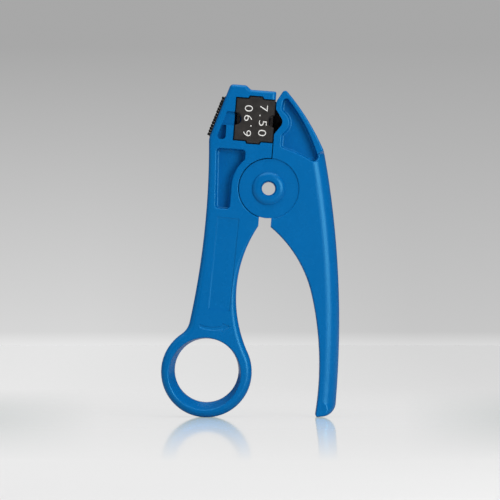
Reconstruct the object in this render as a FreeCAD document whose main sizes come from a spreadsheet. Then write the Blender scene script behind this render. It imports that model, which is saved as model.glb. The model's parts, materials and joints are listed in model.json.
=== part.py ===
"""Coaxial cable stripper: ring handle, squeeze lever, sprung hub and a removable blade cartridge.

Everything is drawn in the tool's own axes. The hub is the origin, X runs across the jaw, Z runs up the
slit between the two jaws, and the front of the tool faces -Y. At the end every piece is turned and
lifted together, so that the tool stands on its ring and on the toe of its lever.
"""
import FreeCAD, Part
import math
import os
import re

import Sketcher
from FreeCAD import Placement, Rotation, Vector

# Driving dimensions in millimetres: name, size, meaning
SIZES = [
    ("thick", 16.0, "tool, front to back"),
    ("edge_round", 1.5, "round along the outline of the handle"),
    ("ring_round", 2.6, "round along the outside of the finger ring"),
    ("rim_round", 0.6, "round along the rims of the moulded pockets"),
    ("mouth_rim", 0.5, "round along the rims of the lever's pockets"),
    ("floor_round", 1.0, "round along the floors of the moulded pockets"),
    ("jaw_offset", 0.4, "middle of the slit, right of the hub"),
    ("seam_gap", 0.4, "width of the slit between the jaws"),
    ("flange_lap", 0.6, "how far the flange behind the slit reaches past it"),
    ("flange_thick", 1.0, "thickness of that flange"),
    ("flange_sink", 0.2, "its back below the back of the tool"),
    ("flange_gap", 0.3, "gap round it in its rebate"),
    ("flange_foot", 13.5, "its lower end, above the hub"),
    # hub
    ("hub_radius", 12.4, "the two half discs of the hub"),
    ("hub_gap", 0.3, "radial gap round each half disc"),
    ("hub_sink", 0.6, "face of a half disc below the face of the tool"),
    ("hub_rim", 0.4, "round along the rim of the hub in each face"),
    ("lap_gap", 0.2, "gap between the two half discs"),
    ("crotch_left", 3.1, "handle's stop face, left of the hub"),
    ("crotch_right", 2.1, "lever's stop face, right of the hub"),
    ("crotch_round", 0.6, "round of the handle's inner edges at those stops"),
    ("crotch_drop", 16.0, "lower end of the stop faces"),
    # sleeve and cap
    ("sleeve_radius", 4.5, "shank of the hollow rivet"),
    ("sleeve_bore", 2.8, "radius of the hole through the rivet"),
    ("running_fit", 0.05, "radial gap between the rivet and the lever"),
    ("press_gap", 0.02, "gap between pieces that are pressed together"),
    ("boss_radius", 6.8, "raised head of the rivet"),
    ("boss_edge", 0.4, "straight edge of the head, below its round"),
    ("boss_rise", 1.0, "height of that round"),
    ("boss_flat", 4.7, "radius of the flat top inside that round"),
    ("boss_flare", 0.6, "growth of the hole at the top of the head"),
    ("boss_dome", 2.9, "radius of the rounds of the head and the cap"),
    ("tail_reach", 0.8, "tail of the rivet above the edge of its cap"),
    # spring
    ("wire_thick", 1.3, "spring wire"),
    ("coil_radius", 7.2, "middle of the spring wire"),
    ("coil_turns", 4.0, "turns of the spring"),
    ("coil_pitch", 1.5, "rise of one turn"),
    ("leg_length", 9.0, "straight legs of the spring"),
    ("spring_wall", 1.4, "wall between the rivet and the spring room"),
    ("spring_room", 10.2, "outer radius of the spring room"),
    ("spring_deep", 4.2, "depth of the spring room in each half disc"),
    ("leg_gap", 0.2, "gap round a leg in its slot"),
    # head
    ("head_top", 42.4, "crown of the head above the hub"),
    ("crown_left", 19.1, "left end of the crown"),
    ("crown_right", 12.6, "right end of the crown"),
    ("crown_round", 1.8, "round at the ends of the crown"),
    ("step_run", 2.1, "slope from the crown down to the upper arm"),
    ("step_round", 1.0, "hollow round at the foot of that slope"),
    ("arm_top", 40.7, "top of the upper arm"),
    ("arm_round", 0.8, "round at the end of the upper arm"),
    ("head_back", 26.5, "back of the head, left of the hub"),
    ("slant_foot", 19.0, "foot of the slanted edge"),
    ("back_round", 6.0, "round where the slanted edge meets the back"),
    # grip and ring
    ("waist_drop", 10.0, "narrowest place of the back, below the hub"),
    ("back_radius", 340.0, "hollow curve of the back"),
    ("grip_radius", 55.0, "hollow curve of the inner side"),
    ("ring_left", 20.1, "finger ring, left of the hub"),
    ("ring_drop", 78.6, "finger ring, below the hub"),
    ("ring_outer", 19.0, "outside radius of the finger ring"),
    ("ring_hole", 13.4, "radius of the finger hole"),
    ("hole_rise", 0.6, "middle of the finger hole above that of the ring"),
    ("flare_round", 8.5, "round where the back meets the ring"),
    ("funnel_grow", 1.6, "growth of the finger hole at each face"),
    ("funnel_lip", 0.15, "least growth, where the funnel is narrowest"),
    ("funnel_deep", 5.0, "depth of that funnel"),
    ("funnel_angle", 244.0, "direction in which the funnel opens, degrees"),
    # pockets of the handle
    ("pocket_deep", 5.0, "pockets beside the hub"),
    ("pocket_round", 1.3, "corners of the pockets"),
    ("pocket_top", 15.3, "top of the pocket beside the hub"),
    ("pocket_right", 10.9, "its right side at the top"),
    ("pocket_foot", 9.8, "its lower end, below the hub"),
    ("pocket_wall", 3.6, "wall between it and the back"),
    ("pocket_lean", 1.4, "how far that wall thickens downwards"),
    ("hub_wall", 3.0, "wall between it and the hub"),
    ("nook_deep", 4.0, "small pocket behind the comb"),
    ("nook_wall", 2.9, "wall between it and the comb"),
    ("nook_foot", 19.2, "lower end of the small pocket"),
    ("nook_right", 19.6, "its right side"),
    ("channel_deep", 2.5, "shallow channel beside the cartridge"),
    ("channel_half", 2.9, "half of its width"),
    ("label_deep", 0.35, "bare label field and arrow"),
    ("label_wide", 9.4, "label field, across"),
    ("label_long", 39.0, "label field, along the grip"),
    ("label_left", 16.4, "its middle, left of the hub"),
    ("label_drop", 32.9, "its middle, below the hub"),
    ("label_turn", 1.5, "its lean, degrees"),
    ("arrow_wide", 1.7, "shaft of the turning arrow"),
    ("arrow_long", 9.2, "shaft of the turning arrow"),
    ("arrow_head", 4.0, "head of the turning arrow"),
    ("arrow_sag", 0.7, "bow of the shaft"),
    ("arrow_lift", 0.9, "tip of the arrow above its shaft"),
    ("arrow_left", 24.4, "tail of the arrow, left of the hub"),
    ("arrow_drop", 59.6, "tail of the arrow, below the hub"),
    ("core_deep", 9.0, "hollows in the back of the grip"),
    ("core_rib", 2.0, "ribs between those hollows"),
    ("core_wide", 8.6, "width of the hollows"),
    ("core_high", 11.4, "length of each hollow"),
    ("core_left", 17.6, "their middle, left of the hub"),
    ("core_drop", 17.0, "their upper end, below the hub"),
    ("core_count", 3.0, "how many hollows"),
    # lever
    ("jaw_top", 36.8, "upper end of the lever's jaw face"),
    ("tip_right", 3.6, "tip of the jaw, right of the hub"),
    ("tip_top", 42.2, "tip of the jaw, above the hub"),
    ("tip_round", 1.3, "round of the tip"),
    ("slope_radius", 100.0, "bulge of the sloping side"),
    ("shoulder_right", 22.0, "shoulder, right of the hub"),
    ("shoulder_up", 17.2, "shoulder, above the hub"),
    ("shoulder_round", 8.0, "round of the shoulder"),
    ("swell_up", 4.0, "where the outer side takes its full round, above the hub"),
    ("hip_radius", 300.0, "outer side beside the hub"),
    ("side_radius", 400.0, "bulge of the outer side"),
    ("foot_out", 34.9, "outer corner of the foot"),
    ("foot_in", 26.7, "inner corner of the foot"),
    ("foot_drop", 94.0, "foot of the lever, below the hub"),
    ("foot_slope", 1.5, "outer corner of the foot above its toe"),
    ("foot_round", 6.0, "outer round of the foot"),
    ("toe_round", 0.9, "inner round of the foot"),
    ("bend_drop", 43.0, "where the two inner curves meet, below the hub"),
    ("shin_radius", 132.0, "lower inner curve"),
    ("thigh_radius", 52.0, "upper inner curve"),
    ("swell_round", 6.0, "large round along the outer side, beside the hub"),
    ("lever_round", 5.0, "large round along the outer side, at the foot"),
    ("lever_edge", 0.7, "small round along the inner side"),
    # jaw of the lever
    ("vee_half", 5.2, "half of the notch's mouth"),
    ("vee_deep", 3.7, "depth of the notch, before its round"),
    ("vee_round", 2.8, "round at the bottom of the notch"),
    ("mouth_round", 1.5, "round at the two ends of its mouth"),
    ("vee_wall", 5.5, "front wall of the jaw, in front of the anvil"),
    ("anvil_deep", 4.8, "anvil, from the jaw face inwards"),
    ("anvil_half", 6.8, "half of the anvil's height"),
    ("stop_sink", 0.2, "back of the anvil below the back of the tool"),
    ("jaw_pocket", 4.5, "depth of the lever's front pocket"),
    ("jaw_wall", 2.3, "wall between that pocket and the jaw face"),
    ("jaw_lean", 0.9, "how much thicker that wall is below the notch"),
    ("jaw_cap", 2.6, "wall between that pocket and the tip"),
    ("vee_cover", 4.7, "point of that pocket's wall beyond the notch"),
    ("cover_round", 5.0, "round of that point"),
    ("jaw_floor", 17.6, "inner lower corner of that pocket, above the hub"),
    ("jaw_sag", 10.8, "outer lower corner of that pocket, above the hub"),
    ("jaw_out", 20.9, "outer lower corner of that pocket, right of the hub"),
    ("jaw_round", 1.8, "round of that corner"),
    ("jaw_bulge", 70.0, "bulge of that pocket's outer side"),
    ("floor_bulge", 60.0, "bulge of that pocket's lower side"),
    # cartridge
    ("cart_wide", 16.4, "cartridge, across"),
    ("cart_high", 17.7, "cartridge, along the jaw"),
    ("cart_up", 28.1, "its middle, above the hub"),
    ("cart_gap", 0.3, "gap round the cartridge in its bay"),
    ("cart_sink", 0.2, "its front below the front of the tool"),
    ("cart_break", 0.3, "broken front edge of the cartridge"),
    ("lug_wide", 5.0, "guide lugs, at their tops"),
    ("lug_high", 1.0, "guide lugs"),
    ("lug_slope", 0.5, "slope of each side of a lug"),
    ("notch_radius", 2.6, "half-round notches for the cable"),
    ("front_plate", 2.0, "front plate of the cartridge"),
    ("blade_pitch", 6.35, "distance between cuts"),
    ("bay_ledge", 1.0, "ledge behind the cartridge"),
    ("bay_lip", 2.0, "how far the ledge reaches in"),
    ("blade_thick", 0.4, "blades"),
    ("blade_wide", 5.0, "blades, back to edge"),
    ("blade_high", 8.0, "blades, along the edge"),
    ("blade_bevel", 0.3, "ground edge of the blades"),
    ("jacket_inset_a", 1.8, "first jacket blade's edge behind its face"),
    ("jacket_inset_b", 2.1, "second jacket blade's edge behind its face"),
    ("core_inset_a", 0.2, "first core blade's edge behind its face"),
    ("core_inset_b", 0.5, "second core blade's edge behind its face"),
    ("blade_gap", 0.05, "gap round a blade in its seat"),
    ("rivet_radius", 0.9, "rivets of the cartridge"),
    ("rivet_head", 1.6, "heads of those rivets"),
    ("head_deep", 0.8, "depth of those heads"),
    ("rivet_bite", 1.2, "how far the rivets enter the front plate"),
    ("rivet_out", 5.6, "rivets, from the middle sideways"),
    ("rivet_up", 6.5, "rivets, from the middle up and down"),
    # comb
    ("comb_long", 18.0, "comb along the slanted edge"),
    ("comb_wide", 11.0, "comb, front to back"),
    ("comb_rise", 10.0, "its middle above the foot of the slanted edge"),
    ("comb_seat", 0.6, "depth of its seat"),
    ("comb_base", 0.8, "thickness of its base"),
    ("tape_thick", 0.2, "adhesive strip under it"),
    ("comb_gap", 0.1, "gap round it in its seat"),
    ("hook_high", 1.1, "height of the hooks"),
    ("hook_thick", 0.7, "hooks, along the strip"),
    ("hook_pitch", 1.5, "rows of hooks"),
    ("hook_wide", 0.9, "hooks, front to back"),
    ("hook_column", 1.5, "columns of hooks"),
]

doc = FreeCAD.newDocument("CoaxStripper")
sheet = doc.addObject("Spreadsheet::Sheet", "Sizes")
for row, (alias, size, meaning) in enumerate(SIZES, start=1):
    sheet.set(f"A{row}", meaning)
    sheet.set(f"B{row}", str(size))
    sheet.setAlias(f"B{row}", alias)
doc.recompute()
NAMES = {alias for alias, size, meaning in SIZES}

# Places that several pieces share
HANDLE_FACE = "(jaw_offset - seam_gap / 2)"
LEVER_FACE = "(jaw_offset + seam_gap / 2)"
HUB_ROOM = "(hub_radius + hub_gap)"
SPRING_INNER = "(sleeve_radius + spring_wall)"
FOOT_CORNER = ("foot_out", "foot_slope - foot_drop")
CART_MIDDLE = f"({HANDLE_FACE} - cart_wide / 2)"
CART_FRONT = "(thick / 2 - cart_sink)"
JACKET_PLANE = f"({CART_FRONT} - front_plate)"
CORE_PLANE = f"({JACKET_PLANE} - blade_pitch)"
STOP_PLANE = f"({CORE_PLANE} - blade_pitch)"
CART_BACK = "(cart_gap + bay_ledge - thick / 2)"
SLANT = "((head_back - crown_left) / (head_top - slant_foot))"


def bound(text):
    """The expression with every size's name turned into its cell."""
    return re.sub(r"[a-z_]\w*", lambda word: f"Sizes.{word[0]}" if word[0] in NAMES else word[0], str(text))


def value(text):
    """The number that an expression gives."""
    return float(sheet.evalExpression(bound(text)))


def new_body(label, base=None):
    """An empty body, or one that goes on from a finished shape."""
    body = doc.addObject("PartDesign::Body", label)
    body.Label = label
    if base:
        body.BaseFeature = base
    return body


def new_sketch(body, name, role="XZ_Plane", lift="0"):
    """A sketch on one of the body's origin planes, lifted along its normal."""
    sketch = body.newObject("Sketcher::SketchObject", name)
    plane = next(feature for feature in body.Origin.OriginFeatures if feature.Role == role)
    sketch.AttachmentSupport = [(plane, "")]
    sketch.MapMode = "FlatFace"
    sketch.setExpression("AttachmentOffset.Base.z", bound(lift))
    return sketch


def datum(sketch, constraint, expression):
    """Adds a constraint whose size follows an expression."""
    index = sketch.addConstraint(constraint)
    sketch.setExpression(f"Constraints[{index}]", bound(expression))


def pin_point(sketch, geometry, position, x, y):
    """Ties a point of the sketch to a place; a coordinate of None stays free."""
    for direction, place in (("DistanceX", x), ("DistanceY", y)):
        if place is not None:
            datum(sketch, Sketcher.Constraint(direction, -1, 1, geometry, position, value(place)), place)


def arc_between(start, end, radius, turn, major):
    """The arc from start to end that turns left (1) or right (-1)."""
    chord = end - start
    left = Vector(-chord.y, chord.x, 0).normalize()
    rise = math.sqrt(max(radius ** 2 - chord.Length ** 2 / 4, 0))
    centre = (start + end) / 2 + left * (rise * turn * (-1 if major else 1))
    first, last = (start, end) if turn > 0 else (end, start)
    angles = [math.atan2(point.y - centre.y, point.x - centre.x) for point in (first, last)]
    return Part.ArcOfCircle(Part.Circle(centre, Vector(0, 0, 1), radius), *angles)


def outline(sketch, corners, arcs=None, guess=None, smooth=()):
    """Draws a closed outline through corners, each a pair of expressions.

    arcs gives the sides that are arcs: {side: (radius, turn, major)}. A corner with a coordinate of
    None is placed by other constraints and has a first guess: {corner: Vector}. At a smooth corner
    two sides run on without a kink.
    """
    arcs = arcs or {}
    guess = guess or {}
    points = [guess[i] if i in guess else Vector(value(corner[0]), value(corner[1]), 0)
              for i, corner in enumerate(corners)]
    sides = []
    for i, start in enumerate(points):
        end = points[(i + 1) % len(points)]
        if i in arcs:
            radius, turn, major = arcs[i]
            made = sketch.addGeometry(arc_between(start, end, value(radius), turn, major))
            datum(sketch, Sketcher.Constraint("Radius", made, value(radius)), radius)
            sides.append((made, 1 if turn > 0 else 2, 2 if turn > 0 else 1))
        else:
            sides.append((sketch.addGeometry(Part.LineSegment(start, end)), 1, 2))
    for i, (made, begin, finish) in enumerate(sides):
        following, first, last = sides[(i + 1) % len(sides)]
        joint = "Tangent" if (i + 1) % len(sides) in smooth else "Coincident"
        sketch.addConstraint(Sketcher.Constraint(joint, made, finish, following, first))
        pin_point(sketch, made, begin, *corners[i])
    return sides


def ring_line(sketch, x, y, radius):
    """Draws a circle whose middle and radius follow expressions."""
    made = sketch.addGeometry(Part.Circle(Vector(value(x), value(y), 0), Vector(0, 0, 1), value(radius)))
    datum(sketch, Sketcher.Constraint("Radius", made, value(radius)), radius)
    pin_point(sketch, made, 3, x, y)


def rectangle(sketch, left, bottom, right, top):
    """Draws an upright rectangle."""
    outline(sketch, [(left, bottom), (right, bottom), (right, top), (left, top)])


def feature(body, kind, profile, length, reverse=False, symmetric=False):
    """Pads or pockets a sketch by a length; a pad on an XZ sketch grows to the front."""
    before = body.Tip.Shape.Volume if body.Tip and hasattr(body.Tip, "Shape") else 0
    made = body.newObject(f"PartDesign::{kind}", f"{profile.Name}_{kind.lower()}")
    made.Profile = profile
    made.setExpression("Length", bound(length))
    made.Reversed = reverse
    if symmetric:
        made.SideType = "Symmetric"
    doc.recompute()
    grown = made.Shape.Volume - before
    if grown == 0 or (grown > 0) != (kind == "Pad"):
        raise RuntimeError(f"{made.Name} changes the volume by {grown:.4f}")
    return made


def pad(body, profile, length, **options):
    """Adds a sketch's solid."""
    return feature(body, "Pad", profile, length, **options)


def pocket(body, profile, depth, **options):
    """Cuts a sketch's solid, from the front backwards unless reversed."""
    return feature(body, "Pocket", profile, depth, **options)


def edge_names(shape, wanted):
    """The names of the edges that the test picks."""
    return [f"Edge{i}" for i, edge in enumerate(shape.Edges, start=1) if wanted(edge)]


def upright_at(x, z):
    """A test for the edge that runs front to back through a place."""
    def test(edge):
        return all(math.hypot(v.X - x, v.Z - z) < 0.01 for v in edge.Vertexes) and len(edge.Vertexes) == 2
    return test


def dress(body, kind, wanted, size, tool):
    """Rounds ("Fillet", "Radius") or breaks ("Chamfer", "Size") the edges that the test picks."""
    base = body.Tip
    names = edge_names(base.Shape, wanted)
    if not names:
        raise RuntimeError(f"no edge to dress on {base.Name}")
    made = body.newObject(f"PartDesign::{kind}", f"{body.Name}_{kind.lower()}")
    made.Base = (base, names)
    made.setExpression(size, bound(tool))
    doc.recompute()
    if "Invalid" in made.State:
        raise RuntimeError(f"{made.Name} cannot dress {names}")
    return made


def round_corners(body, corners, radius):
    """Rounds the upright edges at places of an outline."""
    tests = [upright_at(value(x), value(z)) for x, z in corners]
    dress(body, "Fillet", lambda edge: any(test(edge) for test in tests), "Radius", radius)


def round_rims(body):
    """Rounds the rims of the pockets that lie wholly inside the front or back face."""
    half = value("thick / 2")
    rims = []
    for face in body.Tip.Shape.Faces:
        flat = face.Surface.TypeId == "Part::GeomPlane" and abs(abs(face.CenterOfMass.y) - half) < 0.001
        if flat and face.BoundBox.YLength < 0.001:
            rims += [edge for wire in face.Wires if not wire.isSame(face.OuterWire) for edge in wire.Edges]
    dress(body, "Fillet", lambda edge: any(edge.isSame(rim) for rim in rims), "Radius", "rim_round")


def round_mouths(body, depth):
    """Rounds the rims of the pockets of a depth, also where they cut the round of the outline."""
    level = value(f"thick / 2 - ({depth}) + floor_round")
    rims = []
    for face in body.Tip.Shape.Faces:
        box = face.BoundBox
        reaches = box.YMin * box.YMax > 0 and abs(min(abs(box.YMin), abs(box.YMax)) - level) < 0.001
        if reaches and abs(face.normalAt(*face.Surface.parameter(face.CenterOfMass)).y) < 0.001:
            rims += [edge for edge in face.Edges
                     if abs(edge.CenterOfMass.y) > level + 0.1
                     and edge.BoundBox.XLength + edge.BoundBox.ZLength > 0.01]
    dress(body, "Fillet", lambda edge: any(edge.isSame(rim) for rim in rims), "Radius", "mouth_rim")


def round_hub_rims(body):
    """Rounds the rims of the hub's room in the front and back faces."""
    half = value("thick / 2")
    room = value(HUB_ROOM)

    def on_rim(edge):
        return all(abs(math.hypot(v.X, v.Z) - room) < 0.001 and abs(abs(v.Y) - half) < 0.001
                   for v in edge.Vertexes)

    dress(body, "Fillet", on_rim, "Radius", "hub_rim")


def round_floors(body, depth):
    """Rounds the edges of the pocket floors that lie at a depth below the front and back faces."""
    level = value(f"thick / 2 - ({depth})")
    floors = []
    for face in body.Tip.Shape.Faces:
        flat = face.Surface.TypeId == "Part::GeomPlane" and face.BoundBox.YLength < 0.001
        if flat and abs(abs(face.CenterOfMass.y) - level) < 0.001:
            floors += face.OuterWire.Edges
    dress(body, "Fillet", lambda edge: any(edge.isSame(side) for side in floors), "Radius", "floor_round")


def round_outline(blank, label, keep_sharp, radius_at):
    """Rounds the outline's front and back edges, with the radius that each end of an edge asks for."""
    half = value("thick / 2")
    rounds = []
    for i, edge in enumerate(blank.Shape.Edges, start=1):
        ends = [vertex.Point for vertex in edge.Vertexes]
        in_face = all(abs(abs(end.y) - half) < 0.001 for end in ends) and ends[0].y * ends[-1].y > 0
        if in_face and not keep_sharp(ends):
            rounds.append((i, radius_at(ends[0]), radius_at(ends[-1])))
    rounded = doc.addObject("Part::Fillet", label)
    rounded.Base = blank
    rounded.Edges = rounds
    doc.recompute()
    return rounded


def meet(first, first_radius, second, second_radius, side):
    """The crossing of two circles on the left (1) or right (-1) of the line between their middles."""
    gap = second - first
    along = (first_radius ** 2 - second_radius ** 2 + gap.Length ** 2) / (2 * gap.Length)
    across = math.sqrt(first_radius ** 2 - along ** 2)
    way = Vector(gap).normalize()
    return first + way * along + Vector(-way.y, way.x, 0) * (across * side)


# Ring handle: outline of the head, the grip and the finger ring
def handle_blank():
    body = new_body("ring_handle_blank")
    sketch = new_sketch(body, "handle_outline")
    ring = Vector(-value("ring_left"), -value("ring_drop"), 0)
    ring_outer = value("ring_outer")
    stop = Vector(-value("crotch_left"), -value("crotch_drop"), 0)
    grip = value("grip_radius")
    grip_middle = meet(stop, grip, ring, grip + ring_outer, 1)
    grip_end = ring + (grip_middle - ring) * (ring_outer / (grip + ring_outer))
    back = value("back_radius")
    rise = value("slant_foot + waist_drop")
    back_middle = Vector(-value("head_back") - math.sqrt(back ** 2 - rise ** 2), -value("waist_drop"), 0)
    back_end = meet(ring, ring_outer, back_middle, back, -1)
    sides = outline(
        sketch,
        [("-crown_left", "head_top"), ("-crown_right", "head_top"),
         ("step_run - crown_right", "arm_top"), (HANDLE_FACE, "arm_top"),
         (HANDLE_FACE, f"sqrt(hub_radius^2 - {HANDLE_FACE}^2)"),
         ("-crotch_left", "-sqrt(hub_radius^2 - crotch_left^2)"), ("-crotch_left", "-crotch_drop"),
         (None, None), (None, None), ("-head_back", "slant_foot")],
        arcs={4: ("hub_radius", -1, True), 6: ("grip_radius", 1, False),
              7: ("ring_outer", -1, True), 8: ("back_radius", 1, False)},
        guess={7: grip_end, 8: back_end},
        smooth={7})
    pin_point(sketch, sides[7][0], 3, "-ring_left", "-ring_drop")
    pin_point(sketch, sides[8][0], 3, None, "-waist_drop")
    pad(body, sketch, "thick", symmetric=True)
    round_corners(body, [("-crown_left", "head_top"), ("-crown_right", "head_top")], "crown_round")
    round_corners(body, [("step_run - crown_right", "arm_top")], "step_round")
    round_corners(body, [(HANDLE_FACE, "arm_top")], "arm_round")
    round_corners(body, [("-head_back", "slant_foot")], "back_round")
    round_corners(body, [(back_end.x, back_end.y)], "flare_round")
    return body


def handle_rounded(blank):
    """The blank with its outer edges rounded, more on the ring than on the grip."""
    ring = Vector(-value("ring_left"), 0, -value("ring_drop"))
    outer = value("ring_outer")
    seam = value(HANDLE_FACE)
    hub = value("hub_radius")
    stop = -value("crotch_left")

    def keep_sharp(ends):
        on_seam = all(abs(end.x - seam) < 0.001 for end in ends)
        on_hub = all(abs(math.hypot(end.x, end.z) - hub) < 0.001 for end in ends)
        on_stop = all(abs(end.x - stop) < 0.001 for end in ends)
        return on_seam or on_hub or on_stop

    def radius_at(end):
        if abs(end.x - stop) < 0.01:
            return value("crotch_round")
        on_ring = abs(math.hypot(end.x - ring.x, end.z - ring.z) - outer) < 0.01
        return value("ring_round" if on_ring else "edge_round")

    return round_outline(blank, "ring_handle_rounded", keep_sharp, radius_at)


# Ring handle
def slant_point(along, inward):
    """A place near the slanted edge: along it from its foot, and inwards from it."""
    cosine = f"(1 / sqrt(1 + {SLANT}^2))"
    sine = f"({SLANT} * {cosine})"
    return (f"-head_back + ({along}) * {sine} + ({inward}) * {cosine}",
            f"slant_foot + ({along}) * {cosine} - ({inward}) * {sine}")


def nook_side(height):
    """Left side of the small pocket at a height, parallel to the slanted edge."""
    return f"({height} - slant_foot) * {SLANT} - head_back + nook_wall"


def cut_hub(body, to_front):
    """Cuts one arm's hub: the room for the other half disc, the sunk face, the spring room and the slot."""
    side = 1 if to_front else -1
    room = new_sketch(body, "hub_room", lift=f"{side} * thick / 2")
    ring_line(room, "0", "0", HUB_ROOM)
    pocket(body, room, "thick / 2 + lap_gap / 2", reverse=not to_front)
    sink = new_sketch(body, "hub_face", lift=f"{-side} * thick / 2")
    ring_line(sink, "0", "0", HUB_ROOM)
    pocket(body, sink, "hub_sink", reverse=to_front)
    spring = new_sketch(body, "spring_room", lift=f"{-side} * lap_gap / 2")
    ring_line(spring, "0", "0", SPRING_INNER)
    ring_line(spring, "0", "0", "spring_room")
    pocket(body, spring, "spring_deep", reverse=not to_front)
    slot = new_sketch(body, "leg_slot", lift=f"{-side} * lap_gap / 2")
    half = "(wire_thick / 2 + leg_gap)"
    ends = sorted([f"{-side} * leg_length / 2", f"{-side} * (leg_length + leg_gap)"], key=value)
    rectangle(slot, ends[0], f"-coil_radius - {half}", ends[1], f"-coil_radius + {half}")
    pocket(body, slot, "spring_deep", reverse=not to_front)


def cut_bay(body):
    """Cuts the bay that the cartridge drops into, with its lug guides and its back window."""
    middle = CART_MIDDLE
    left = f"{middle} - cart_wide / 2 - cart_gap"
    right = f"{HANDLE_FACE} + cart_gap"
    bottom = "cart_up - cart_high / 2 - cart_gap"
    top = "cart_up + cart_high / 2 + cart_gap"
    tip = "(lug_wide / 2 + cart_gap)"
    foot = f"({tip} + lug_slope)"
    bay = new_sketch(body, "cartridge_bay", lift="thick / 2")
    outline(bay, [
        (left, bottom), (f"{middle} - {foot}", bottom), (f"{middle} - {tip}", f"{bottom} - lug_high"),
        (f"{middle} + {tip}", f"{bottom} - lug_high"), (f"{middle} + {foot}", bottom), (right, bottom),
        (right, top), (f"{middle} + {foot}", top), (f"{middle} + {tip}", f"{top} + lug_high"),
        (f"{middle} - {tip}", f"{top} + lug_high"), (f"{middle} - {foot}", top), (left, top)])
    pocket(body, bay, "thick - bay_ledge")
    window = new_sketch(body, "bay_window", lift="-thick / 2")
    rectangle(window, f"{left} + bay_lip", f"{bottom} + bay_lip", right, f"{top} - bay_lip")
    pocket(body, window, "bay_ledge", reverse=True)


def cut_rebate(body):
    """Cuts the rebate in the back of the handle that the lever's flange lies in."""
    sketch = new_sketch(body, "flange_rebate", lift="-thick / 2")
    rectangle(sketch, f"{HANDLE_FACE} - flange_lap - flange_gap", "flange_foot - flange_gap",
              f"{HANDLE_FACE} + seam_gap", "arm_top + flange_gap")
    pocket(body, sketch, "flange_sink + flange_thick + flange_gap", reverse=True)


def cut_handle_pockets(body):
    """Cuts the pockets beside the hub, front and back, and the small ones behind the comb."""
    wall = f"({HUB_ROOM} + hub_wall)"
    top_left = "pocket_wall - head_back"
    foot_left = "pocket_wall + pocket_lean - head_back"
    corner_up = f"sqrt({wall}^2 - pocket_right^2)"
    for side, name in ((1, "front_pocket"), (-1, "back_pocket")):
        sketch = new_sketch(body, name, lift=f"{side} * thick / 2")
        outline(sketch, [(foot_left, "-pocket_foot"), (f"-{wall}", "-pocket_foot"), (f"-{wall}", "0"),
                         ("-pocket_right", corner_up), ("-pocket_right", "pocket_top"),
                         (top_left, "pocket_top")],
                arcs={2: (wall, -1, False)})
        pocket(body, sketch, "pocket_deep", reverse=side < 0)
    round_corners(body, [(foot_left, "-pocket_foot"), (f"-{wall}", "-pocket_foot"),
                         ("-pocket_right", corner_up), ("-pocket_right", "pocket_top"),
                         (top_left, "pocket_top")], "pocket_round")
    low = "(cart_up - channel_half)"
    high = "(cart_up + channel_half)"
    bay_left = f"{CART_MIDDLE} - cart_wide / 2"
    channel = new_sketch(body, "channel", lift="thick / 2")
    outline(channel, [(nook_side(low), low), (bay_left, low), (bay_left, high), (nook_side(high), high)])
    pocket(body, channel, "channel_deep")
    nook = new_sketch(body, "nook", lift="thick / 2")
    outline(nook, [(nook_side("nook_foot"), "nook_foot"), ("-nook_right", "nook_foot"),
                   ("-nook_right", low), (nook_side(low), low)])
    pocket(body, nook, "nook_deep")
    round_corners(body, [(nook_side("nook_foot"), "nook_foot"), ("-nook_right", "nook_foot")],
                  "pocket_round")


def cut_label_and_arrow(body):
    """Cuts the shallow bare label field and the arrow that shows which way to spin the tool."""
    label = new_sketch(body, "label_field", lift="thick / 2")
    wide = "label_wide / 2"
    tall = "label_long / 2"
    outline(label, [
        (f"-label_left + {across} * {wide} * cos(label_turn) + {along} * {tall} * sin(label_turn)",
         f"-label_drop - {across} * {wide} * sin(label_turn) + {along} * {tall} * cos(label_turn)")
        for across, along in ((-1, -1), (1, -1), (1, 1), (-1, 1))])
    pocket(body, label, "label_deep")
    arrow = new_sketch(body, "arrow", lift="thick / 2")
    tail = "-arrow_left"
    neck = "(arrow_long - arrow_left)"
    bow = "(arrow_long^2 / 4 + arrow_sag^2) / (2 * arrow_sag)"
    upper = "arrow_wide / 2 - arrow_drop"
    lower = "-arrow_wide / 2 - arrow_drop"
    outline(arrow, [(tail, upper), (neck, upper), (neck, "arrow_head / 2 - arrow_drop"),
                    (f"{neck} + arrow_head", "arrow_lift - arrow_drop"),
                    (neck, "-arrow_head / 2 - arrow_drop"), (neck, lower), (tail, lower)],
            arcs={0: (bow, 1, False), 5: (bow, -1, False)})
    pocket(body, arrow, "label_deep")


def cut_grip_back(body):
    """Cores the back of the grip out between cross ribs."""
    sketch = new_sketch(body, "grip_hollows", lift="-thick / 2")
    left = "-core_left - core_wide / 2"
    right = "-core_left + core_wide / 2"
    corners = []
    for step in range(round(value("core_count"))):
        top = f"-core_drop - {step} * (core_high + core_rib)"
        rectangle(sketch, left, f"{top} - core_high", right, top)
        corners += [(x, z) for x in (left, right) for z in (top, f"{top} - core_high")]
    pocket(body, sketch, "core_deep", reverse=True)
    round_corners(body, corners, "pocket_round")


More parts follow.
